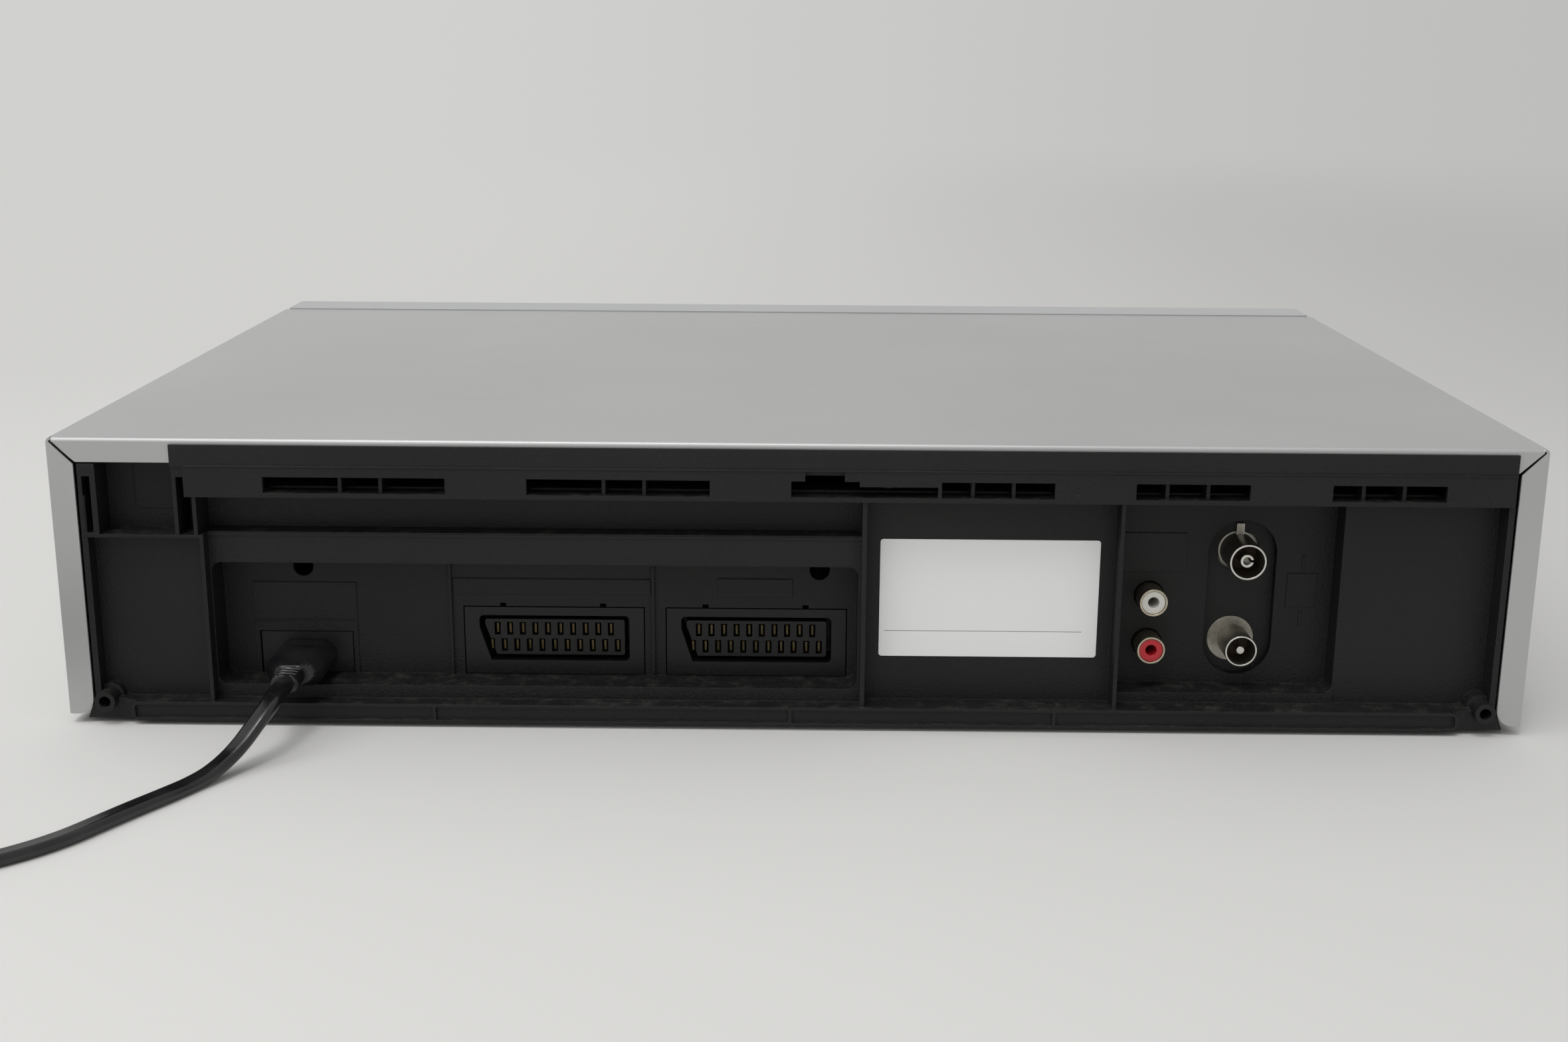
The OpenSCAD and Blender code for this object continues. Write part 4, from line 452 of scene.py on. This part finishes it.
strap.thickness, strap.offset = tie_thick * mm, 1.0
bpy.ops.object.modifier_apply(modifier=strap.name)
bpy.ops.object.shade_smooth_by_angle(angle=math.radians(40))
tie_cloth, shader, place = start_finish("hook_and_loop", Roughness=0.92)
fuzz = place.noise(2600, 3)
join(shader, {"Base Color": fuzz.tint((0.006, 0.006, 0.006), (0.03, 0.03, 0.03)),
              "Normal": place.relief(fuzz, 0.2 * mm)})
tie.data.materials.append(tie_cloth)
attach(tie, "machine")

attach(lead, "machine")
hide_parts("cord_lead", "cord_coil")


# ---- Moulded frame ----
# One moulding of charcoal styrene with a spark-eroded grain: a tray with side walls, and the rear
# wall with its jack field, ribs, air slots and screw bosses. Fine dust lies on its ledges.
def moulded(name, dark, light, rough=0.5, grain=0.04, dust=0.0, shine=0.3, scale=1500.0):
    """Moulded plastic: two close tones, a fine grain, and dust that lies where a face looks up."""
    made, shader, place = start_finish(name, Specular_IOR_Level=shine)
    cloud = place.noise(14, 3).span(0.3, 0.7)
    fine = place.noise(scale, 3, 0.6).span(0.32, 0.68)
    tone = (cloud * 0.4 + fine * 0.6).tint(dark, light)
    roughness = fine * 0.12 + rough
    if dust:
        facing = Shade(place.output.node.outputs["Normal"]).axis("Z")
        settled = facing.span(0.4, 0.95) * place.noise(170, 4, 0.7).span(0.35, 0.8)
        speck = place.node("ShaderNodeTexVoronoi", {}, {"Vector": place, "Scale": 300.0}, "Distance")
        specks = speck.span(0.03, 0.055, 1.0, 0.0) * place.noise(60, 1).span(0.5, 0.62)
        worn = (settled * dust + specks * 0.45).span(0.0, 1.0)
        tone = worn.tint(tone, (0.13, 0.125, 0.11))
        roughness = roughness + worn * 0.25
    join(shader, {"Base Color": tone, "Roughness": roughness,
                  "Normal": place.relief(fine, grain * mm, 0.6)})
    return made


# planes that part the moulding into simple solids, and those round its two boss corners
wall_slits = {"x": (172.9, -21.1, -93.9, -163.0), "y": (131.3,), "z": (69.2, 57.0, 7.6)}
corner_x, corner_z, slit_half = 198.0, 12.5, 0.0125


def wall_joint(centre, normal):
    """A face at one of the slits, or at the planes of the two boss corners."""
    x, z = abs(centre.x), centre.z
    if (abs(x - corner_x) < 0.002 and z < corner_z + 0.01 and abs(normal.x) > 0.99) or (
            abs(z - corner_z) < 0.002 and x > corner_x - 0.01 and abs(normal.z) > 0.99):
        return True
    return any(abs(getattr(normal, axis)) > 0.99 and abs(getattr(centre, axis) - at) < slit_half
               for axis, planes in wall_slits.items() for at in planes)


frame_black = moulded("moulded_frame", (0.0048, 0.0051, 0.0052), (0.0118, 0.0122, 0.0120),
                      rough=0.44, grain=0.09, dust=0.35)
finished(["rear_wall", "rear_bosses"], frame_black, 0.1, joint=wall_joint)
finished("chassis_frame", frame_black, 0.2)

# a fine bead along the foot of the rail's upper band, whose top edge catches the light
bead_low, bead_high = Vector((-206.0, 140.2, 78.75)), Vector((175.0, 140.85, 79.35))
bead_round = 0.16
bead = block("rail_bead", (bead_low + bead_high) / 2 * mm, (bead_high - bead_low) * mm)
bpy.ops.object.mode_set(mode="EDIT")
bpy.ops.mesh.bevel(offset=bead_round * mm, segments=3, affect="EDGES")
bpy.ops.object.mode_set(mode="OBJECT")
bpy.ops.object.shade_smooth_by_angle(angle=math.radians(40))
bead.data.materials.append(frame_black)
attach(bead, "machine")


# ---- Rubber feet ----
# Four tapered discs of soft black rubber, each with a dimple below, fixed under the tray.
foot_rubber = moulded("foot_rubber", (0.012, 0.012, 0.012), (0.022, 0.021, 0.02),
                      rough=0.75, grain=0.08, dust=0.2, shine=0.15, scale=900)
finished("foot_pads", foot_rubber, 0.2)


# ---- Folded cover ----
# One sheet of thin steel, folded down at both sides and turned in at the back, sprayed with a
# satin silver lacquer. Four blackened cross-head screws hold it to the frame's side bosses.
def lacquered(name, dark, light, rough=0.36, flake=4200.0, metal=0.45, peel=0.012):
    """Silver lacquer: fine flakes in a clear film with a slight peel, and faint handling marks."""
    made, shader, place = start_finish(name, Specular_IOR_Level=0.4, Coat_Roughness=0.25)
    flakes = place.noise(flake, 1)
    haze = place.noise(8, 3).span(0.3, 0.7)
    touch = place.noise(34, 4, 0.65).span(0.5, 0.8)
    join(shader, {"Base Color": (flakes * 0.55 + haze * 0.45).tint(dark, light), "Metallic": metal,
                  "Roughness": haze * 0.05 + touch * 0.06 + rough, "Coat Weight": 0.15,
                  "Normal": place.relief(place.noise(650, 2), peel * mm, 0.5)})
    return made


def turned_steel(name, dark, light, rough=0.28, grain=1400.0, metal=1.0):
    """Bare or plated steel with a fine grain of its drawing and a few dull spots."""
    made, shader, place = start_finish(name, Metallic=metal)
    lines = place.vector("MULTIPLY", (grain, grain, 0.12 * grain)).noise(1.0, 3)
    spots = place.noise(130, 4, 0.6).span(0.45, 0.75)
    join(shader, {"Base Color": (lines * 0.5 + spots * 0.5).tint(light, dark),
                  "Roughness": lines * 0.12 + spots * 0.14 + rough,
                  "Normal": place.relief(lines, 0.01 * mm, 0.5)})
    return made


cover_silver = lacquered("cover_lacquer", (0.40, 0.405, 0.402), (0.475, 0.48, 0.476))
cover_back, cover_top, fold_radius = 139.5, 87.0, 1.5


def rear_fold(piece):
    """The sheet's bend over the rear flange, along the top and round both upper corners."""
    bpy.ops.object.mode_set(mode="EDIT")
    bpy.ops.mesh.select_mode(type="EDGE")
    bpy.ops.mesh.select_all(action="DESELECT")
    bpy.ops.object.mode_set(mode="OBJECT")
    for edge in piece.data.edges:
        a, b = (piece.data.vertices[k].co / mm for k in edge.vertices)
        edge.select = min(a.y, b.y) > cover_back - 0.01 and min(a.z, b.z) > cover_top - 0.02
    bpy.ops.object.mode_set(mode="EDIT")
    bpy.ops.mesh.bevel(offset=fold_radius * mm, segments=6, affect="EDGES", loop_slide=False)
    bpy.ops.mesh.select_mode(type="FACE")
    bpy.ops.object.mode_set(mode="OBJECT")


finished("top_cover", cover_silver, 0.1, shaped=rear_fold)
dark_steel = turned_steel("blackened_steel", (0.012, 0.012, 0.013), (0.03, 0.03, 0.032), rough=0.35)
finished("cover_screws", dark_steel, 0.12)


# ---- Rating label ----
# A die-cut label of coated white paper with round corners. It is bare but for one ruled line near
# its foot.
label_low, label_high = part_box("rating_plate")
label_white, shader, place = start_finish("label_paper", Specular_IOR_Level=0.35)


def ruled(place, axis, at, half):
    """1 on a line across that axis, half to either side of its middle, in metres."""
    off = place.axis(axis) - at
    return off.maths("ABSOLUTE", off, 0).span(half, half * 1.6, 1.0, 0.0)


def within(place, axis, low, high, soft=0.02 * mm):
    """1 between two places on that axis, in metres."""
    return place.axis(axis).span(low, low + soft) * place.axis(axis).span(high - soft, high, 1.0, 0.0)


label_wide, label_tall = label_high.x - label_low.x, label_high.z - label_low.z
line_start, line_end = label_low.x + 0.07 * label_wide, label_high.x - 0.025 * label_wide
line_z, line_half = label_low.z + 0.22 * label_tall, 0.09 * mm
inked = within(place, "X", line_start, line_end) * ruled(place, "Z", line_z, line_half)
fibre = place.noise(2200, 3)
join(shader, {"Base Color": (inked * 0.7).tint(fibre.tint((0.75, 0.755, 0.75), (0.81, 0.812, 0.80)),
                                               (0.10, 0.10, 0.11)),
              "Roughness": fibre * 0.15 + 0.42,
              "Normal": place.relief(fibre, 0.01 * mm, 0.5)})
finished("rating_plate", label_white, 0.04)


# ---- Sockets in the jack field ----
# The mains inlet and the pair of multi-pole sockets are hard, slightly glossy black mouldings on the
# main board. Their contacts are folded springs of plated bronze, coloured very dark: painted shade,
# so that they read as the dark holes of the sockets.
socket_black = moulded("socket_black", (0.0035, 0.0035, 0.0038), (0.007, 0.007, 0.0072),
                       rough=0.36, grain=0.02, shine=0.35, scale=1200)
inlet = finished("ac_inlet", socket_black, 0.12)
plate_steel = turned_steel("plated_steel", (0.34, 0.33, 0.30), (0.55, 0.54, 0.50))


inlet_x, inlet_z = 147.2, 17.1
inlet_pin_apart, inlet_pin_reach, inlet_pin_end = 4.3, 1.3, 121.2


def is_pin(c):
    """Faces of the two round contact pins inside the inlet's mouth."""
    return c.y < inlet_pin_end and any(
        math.hypot(c.x - inlet_x - side * inlet_pin_apart, c.z - inlet_z) < inlet_pin_reach
        for side in (-1, 1))


repaint(inlet, plate_steel, is_pin)
finished("av_sockets", socket_black, 0.06)
# painted shade: the contacts' bronze is made nearly black so that they read as dark holes
bronze = turned_steel("contact_bronze_painted_dark", (0.035, 0.026, 0.014), (0.11, 0.085, 0.045), rough=0.3)
finished("av_contacts", bronze, 0.05)


# ---- Audio sockets ----
# Two phono barrels of warm plated brass in one black body; the inner sleeves are white and red.
warm_nickel = turned_steel("warm_nickel", (0.24, 0.19, 0.12), (0.62, 0.57, 0.46), rough=0.24)
finished("audio_socket_body", socket_black, 0.15)
finished("audio_socket_shells", warm_nickel, 0.1)
sleeve_white = moulded("sleeve_white", (0.56, 0.55, 0.50), (0.64, 0.63, 0.58), rough=0.3, grain=0.01,
                       shine=0.5)
sleeve_red = moulded("sleeve_red", (0.40, 0.012, 0.02), (0.52, 0.02, 0.03), rough=0.3, grain=0.01,
                     shine=0.5)
finished("audio_ring_left", sleeve_white, 0.15)
finished("audio_ring_right", sleeve_red, 0.15)


# ---- Tuner and aerial sockets ----
# A folded tin box on the board carries two coaxial sockets of dull nickel with brighter rims. Their
# barrels are open at the end; inside each is a brown insulating disc round the centre contact.
tinplate = turned_steel("tinplate", (0.40, 0.40, 0.37), (0.62, 0.61, 0.57), rough=0.32, grain=700)
dull_nickel = turned_steel("dull_nickel", (0.13, 0.12, 0.10), (0.42, 0.40, 0.35), rough=0.26)
bright_rim = turned_steel("bright_rim", (0.45, 0.44, 0.40), (0.78, 0.77, 0.72), rough=0.18)
inner_brown = moulded("insulating_disc", (0.035, 0.018, 0.01), (0.07, 0.04, 0.022), rough=0.4,
                      grain=0.02)
finished("tuner_box", tinplate, 0.12)
aerial_x, disc_y, disc_thick = -132.9, 122.0, 0.8
rim_deep, contact_reach = 0.35, 2.1
# node: the height of its middle, its outer radius and the wall of its barrel
aerials = {"aerial_in": (51.0, 5.35, 0.6), "aerial_out": (23.2, 4.7, 0.55)}
for node, (barrel_z, barrel_r, barrel_wall) in aerials.items():
    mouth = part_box(node)[1].y / mm
    barrel = finished(node, dull_nickel, 0.1)
    repaint(barrel, bright_rim, lambda c: c.y > mouth - rim_deep or math.hypot(
        c.x - aerial_x, c.z - barrel_z) < contact_reach)
    bpy.ops.object.select_all(action="DESELECT")
    bpy.ops.mesh.primitive_cylinder_add(
        vertices=40, radius=(barrel_r - barrel_wall) * mm, depth=disc_thick * mm,
        location=(aerial_x * mm, disc_y * mm, barrel_z * mm), rotation=(math.pi / 2, 0, 0))
    disc = bpy.context.active_object
    disc.name = node + "_disc"
    bpy.ops.object.transform_apply(location=True, rotation=True, scale=True)
    pick(disc, lambda face: face.normal.y > 0.9)
    bpy.ops.object.mode_set(mode="EDIT")
    bpy.ops.mesh.inset(thickness=1.1 * mm)
    bpy.ops.mesh.extrude_region_move(TRANSFORM_OT_translate={"value": (0, 0.5 * mm, 0)})
    bpy.ops.mesh.inset(thickness=0.5 * mm)
    bpy.ops.object.mode_set(mode="OBJECT")
    bpy.ops.object.shade_smooth_by_angle(angle=math.radians(35))
    disc.data.materials.append(inner_brown)
    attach(disc, "machine")


# ---- Front panel, flap and door ----
# A deep silver moulding with a satin lacquer. The flap swings in over the cassette's mouth and the
# door folds down before three small sockets; both are of the same moulding.
panel_silver = lacquered("panel_silver", (0.40, 0.405, 0.41), (0.46, 0.466, 0.47), rough=0.42,
                         metal=0.25, peel=0.02)
finished("front_panel", panel_silver, 0.1)
finished("cassette_flap", panel_silver, 0.1)
finished("jack_door", panel_silver, 0.1)
jack_brass = turned_steel("jack_plate", (0.40, 0.33, 0.16), (0.66, 0.58, 0.34), rough=0.25)
finished("front_jacks", jack_brass, 0.15)


# ---- Display ----
# A smoked acrylic window, and behind it a dark glass tube with a faint pattern of cells, unlit.
smoked, shader, place = start_finish("smoked_acrylic", Roughness=0.06, IOR=1.49,
                                     Specular_IOR_Level=0.5)
dusting = place.noise(120, 4).span(0.5, 0.8)
join(shader, {"Base Color": dusting.tint((0.006, 0.007, 0.010), (0.012, 0.013, 0.016)),
              "Roughness": dusting * 0.08 + 0.05, "Alpha": 0.86})
finished("display_window", smoked, 0.25)
tube_glass, shader, place = start_finish("display_glass", Roughness=0.1)
cells = place.node("ShaderNodeTexVoronoi", {"distance": "CHEBYCHEV"},
                   {"Vector": place, "Scale": 260.0}, "Distance").span(0.3, 0.5)
join(shader, {"Base Color": cells.tint((0.05, 0.075, 0.07), (0.012, 0.02, 0.02)),
              "Roughness": cells * 0.2 + 0.08})
finished("display_module", tube_glass, 0.3)


# ---- Push buttons ----
# Nine caps of the panel's silver, a shade brighter, each sprung against its own switch. A plain
# printed sign stands on each: the usual ones of a tape machine.
cap_silver = lacquered("cap_silver", (0.43, 0.435, 0.44), (0.49, 0.495, 0.50), rough=0.3, metal=0.3)
print_grey = moulded("printed_sign", (0.02, 0.021, 0.023), (0.035, 0.036, 0.038), rough=0.45,
                     grain=0.004)
front_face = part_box("power_button")[0].y
sign_thick = 0.03 * mm


def sign_part(corners, x, z, radius, turn):
    """A flat figure of that many corners on a cap's face, slightly proud; turn is clockwise."""
    bpy.ops.object.select_all(action="DESELECT")
    bpy.ops.mesh.primitive_circle_add(vertices=corners, radius=radius * mm, fill_type="NGON",
                                      location=(x * mm, front_face - sign_thick, z * mm),
                                      rotation=(math.pi / 2, math.radians(turn), 0))
    part = bpy.context.active_object
    bpy.ops.object.transform_apply(location=True, rotation=True, scale=True)
    bpy.ops.object.mode_set(mode="EDIT")
    bpy.ops.mesh.extrude_region_move(TRANSFORM_OT_translate={"value": (0, 1.2 * sign_thick, 0)})
    bpy.ops.mesh.select_all(action="SELECT")
    bpy.ops.mesh.normals_make_consistent(inside=False)
    bpy.ops.object.mode_set(mode="OBJECT")
    return part


# body: the parts of its sign, each with corners, offset across, offset up, radius and turn
signs = {
    "power": [(28, 0, 0, 1.7, 0)],
    "eject": [(3, 0, 0.7, 1.7, 0), (4, 0, -1.3, 0.9, 45)],
    "rewind": [(3, -1.3, 0, 1.9, -90), (3, 1.6, 0, 1.9, -90)],
    "play": [(3, 0, 0, 2.4, 90)],
    "forward": [(3, -1.6, 0, 1.9, 90), (3, 1.3, 0, 1.9, 90)],
    "stop": [(4, 0, 0, 2.3, 45)],
    "record": [(32, 0, 0, 2.0, 0)],
    "channel_up": [(3, 0, 0, 1.9, 0)],
    "channel_down": [(3, 0, 0, 1.9, 180)]}
for key_name, parts in signs.items():
    low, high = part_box(key_name + "_button")
    finished(key_name + "_button", cap_silver, 0.35)
    middle_x, middle_z = (low.x + high.x) / 2 / mm, (low.z + high.z) / 2 / mm
    made = [sign_part(n, middle_x + dx, middle_z + dz, radius, turn)
            for n, dx, dz, radius, turn in parts]
    alone(made[0])
    for part in made:
        part.select_set(True)
    if len(made) > 1:
        bpy.ops.object.join()
    made[0].name = key_name + "_sign"
    made[0].data.materials.append(print_grey)
    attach(made[0], key_name)


# ---- Circuit boards ----
# Brown phenolic boards with copper tracks below, under a clear lacquer; push switches, black
# packages and the inner screws sit on them.
board_brown, shader, place = start_finish("phenolic_board", Specular_IOR_Level=0.45)
tracks = place.node("ShaderNodeTexVoronoi", {"distance": "MANHATTAN"},
                    {"Vector": place.vector("MULTIPLY", (1, 1, 0)), "Scale": 210.0},
                    "Distance").span(0.40, 0.46)
below = Shade(place.output.node.outputs["Normal"]).axis("Z").span(-0.9, -0.5, 1.0, 0.0)
paper_grain = place.noise(420, 4)
join(shader, {"Base Color": (tracks * below).tint(
    paper_grain.tint((0.15, 0.085, 0.035), (0.24, 0.15, 0.07)), (0.05, 0.12, 0.06)),
    "Roughness": paper_grain * 0.2 + 0.35,
    "Normal": place.relief(tracks * below, 0.03 * mm, 0.5)})
package_black = moulded("package_black", (0.010, 0.010, 0.010), (0.02, 0.02, 0.02), rough=0.55,
                        grain=0.03)
main_board = finished("main_board", board_brown, 0.08)
board_top, board_thick = 10.6, 1.6
repaint(main_board, package_black, lambda c: c.z > board_top + 0.05)
front_board = finished("front_board", board_brown, 0.08)
board_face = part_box("front_board")[1].y / mm - board_thick
repaint(front_board, package_black, lambda c: c.y < board_face - 0.1)
zinc = turned_steel("zinc_plate", (0.33, 0.33, 0.30), (0.55, 0.55, 0.50), rough=0.3, grain=500)
finished("inner_screws", zinc, 0.1)


# ---- Small components ----
# Electrolytic capacitors with dark blue sleeves and bare metal tops stand in two rows on the main
# board, soldered to it.
tape_yellow = moulded("coil_tape", (0.50, 0.36, 0.05), (0.62, 0.47, 0.09), rough=0.28, grain=0.01,
                      shine=0.5)
sleeve_blue = moulded("shrink_sleeve", (0.006, 0.010, 0.045), (0.012, 0.02, 0.075), rough=0.25,
                      grain=0.006, shine=0.5)
resin_white = moulded("white_resin", (0.50, 0.49, 0.44), (0.60, 0.59, 0.54), rough=0.4, grain=0.02)
can_top = turned_steel("can_top", (0.42, 0.42, 0.43), (0.66, 0.66, 0.67), rough=0.3)


def small_capacitor(x, y, radius, height):
    """A can with a rounded shoulder and a slightly sunk bare top; all four in millimetres."""
    bpy.ops.object.select_all(action="DESELECT")
    bpy.ops.mesh.primitive_cylinder_add(
        vertices=20, radius=radius * mm, depth=height * mm,
        location=(x * mm, y * mm, (board_top + height / 2) * mm))
    can = bpy.context.active_object
    can.name = f"capacitor_{round(x)}_{round(y)}"
    bpy.ops.object.transform_apply(location=True, rotation=True, scale=True)
    pick(can, lambda face: face.normal.z > 0.9)
    bpy.ops.object.mode_set(mode="EDIT")
    bpy.ops.mesh.bevel(offset=0.12 * radius * mm, segments=2, affect="EDGES")
    bpy.ops.object.mode_set(mode="OBJECT")
    pick(can, lambda face: face.normal.z > 0.98)
    bpy.ops.object.mode_set(mode="EDIT")
    bpy.ops.mesh.inset(thickness=0.14 * radius * mm, depth=-0.1 * mm)
    bpy.ops.object.mode_set(mode="OBJECT")
    bpy.ops.object.shade_smooth_by_angle(angle=math.radians(40))
    can.data.materials.append(sleeve_blue)
    repaint(can, can_top, lambda c: c.z > board_top + height - 0.15
            and math.hypot(c.x - x, c.y - y) < 0.8 * radius)
    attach(can, "machine")


row_count = 5
tuner_row_x, tuner_row_y, tuner_row_step = -190, 84, 7.8
supply_row_x, supply_row_y, supply_row_step = 74, 20, 10.5
for k in range(row_count):
    small_capacitor(tuner_row_x + tuner_row_step * k, tuner_row_y + (k % 3) * 5,
                    3.1 - 0.3 * (k % 3), 9 + (k % 2) * 2.5)
for k in range(row_count):
    small_capacitor(supply_row_x + supply_row_step * k, supply_row_y - (k % 2) * 8,
                    3.4 - 0.4 * (k % 2), 10.5)


# ---- Power supply ----
# A ferrite transformer wound under yellow tape, one large capacitor, and an extruded heat sink.
ferrite = moulded("ferrite", (0.018, 0.018, 0.02), (0.035, 0.035, 0.037), rough=0.5, grain=0.05)
transformer = finished("mains_transformer", tape_yellow, 0.3)
trafo_low, trafo_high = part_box("mains_transformer")
bobbin_foot, core_top = board_top + 4.9, board_top + 24.1
core_front, core_back = trafo_low.y / mm + 4.1, trafo_high.y / mm - 7.1
repaint(transformer, ferrite, lambda c: c.z < bobbin_foot or (
    c.z < core_top and (c.y < core_front or c.y > core_back)))
main_can = finished("main_capacitor", sleeve_blue, 0.1)
can_low, can_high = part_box("main_capacitor")
can_mid, bare_top_r, bare_top_z = (can_low + can_high) / 2 / mm, 9.0, can_high.z / mm - 0.2
repaint(main_can, can_top, lambda c: c.z > bare_top_z
        and math.hypot(c.x - can_mid.x, c.y - can_mid.y) < bare_top_r)
extruded = turned_steel("extruded_aluminium", (0.50, 0.50, 0.52), (0.68, 0.68, 0.70), rough=0.34)
finished("heat_sink", extruded, 0.15)


# ---- Transport plate and carriage ----
# Pressed plates of zinc-plated steel carry the reels, capstan and drum. The carriage is painted
# sheet, and runs on sliders of white resin.
finished("transport_plate", zinc, 0.15)
finished("carriage_side_plates", zinc, 0.15)
finished("carriage_sliders", resin_white, 0.2)
carriage_black = lacquered("carriage_paint", (0.03, 0.03, 0.032), (0.05, 0.05, 0.054), rough=0.42,
                           metal=0.1)
finished("cassette_carriage", carriage_black, 0.15)


# ---- Head drum ----
# Two polished aluminium drums, turned on a lathe: fine rings on the top and round the side.
drum_metal, shader, place = start_finish("turned_aluminium", Metallic=1.0)
drum_axis = (-40 * mm, 36.5 * mm, 0)
from_axis = place.vector("SUBTRACT", drum_axis).vector("MULTIPLY", (1, 1, 0)).vector(
    "LENGTH", (0, 0, 0), "Value")
along_cut = from_axis + place.axis("Z") * 0.7
turning = along_cut.node("ShaderNodeTexNoise", {"noise_dimensions": "1D"},
                         {"W": along_cut, "Scale": 5200.0, "Detail": 2.0}, "Fac")
join(shader, {"Base Color": turning.tint((0.60, 0.60, 0.61), (0.76, 0.76, 0.77)),
              "Roughness": turning * 0.18 + 0.16, "Normal": place.relief(turning, 0.004 * mm, 0.5)})
finished("lower_drum", drum_metal, 0.1)
finished("upper_drum", drum_metal, 0.15)


# ---- Reels, idler and belt ----
# Reel tables of black acetal, a rubber idler wheel that swings between them, and the resin pulley and
# rubber belt that drive it.
reel_black = moulded("reel_acetal", (0.012, 0.012, 0.012), (0.024, 0.024, 0.024), rough=0.4,
                     grain=0.02)
wheel_rubber = moulded("wheel_rubber", (0.008, 0.008, 0.008), (0.018, 0.017, 0.017), rough=0.7,
                       grain=0.03, shine=0.15, scale=2200)
ground_steel = turned_steel("ground_steel", (0.48, 0.48, 0.49), (0.70, 0.70, 0.72), rough=0.2)
finished("supply_reel_table", reel_black, 0.06)
finished("takeup_reel_table", reel_black, 0.06)
finished("idler_arm", zinc, 0.12)
finished("idler_wheel", wheel_rubber, 0.2)
finished("centre_pulley", resin_white, 0.15)
finished("drive_belt", wheel_rubber, 0.15)


# ---- Capstan, pinch roller and guides ----
# A ground steel capstan with its flywheel, the rubber roller that presses the tape against it, the
# two guide posts that draw the tape round the drum, and the still heads.
finished("capstan", ground_steel, 0.12)
finished("pinch_arm", zinc, 0.12)
finished("pinch_roller", wheel_rubber, 0.3)
deck_top, guide_foot = 25.5, 3.7
for node in ("supply_guide_post", "takeup_guide_post"):
    guide = finished(node, resin_white, 0.12)
    repaint(guide, ground_steel, lambda c: c.z > deck_top + guide_foot)
finished("tape_heads", ground_steel, 0.15)
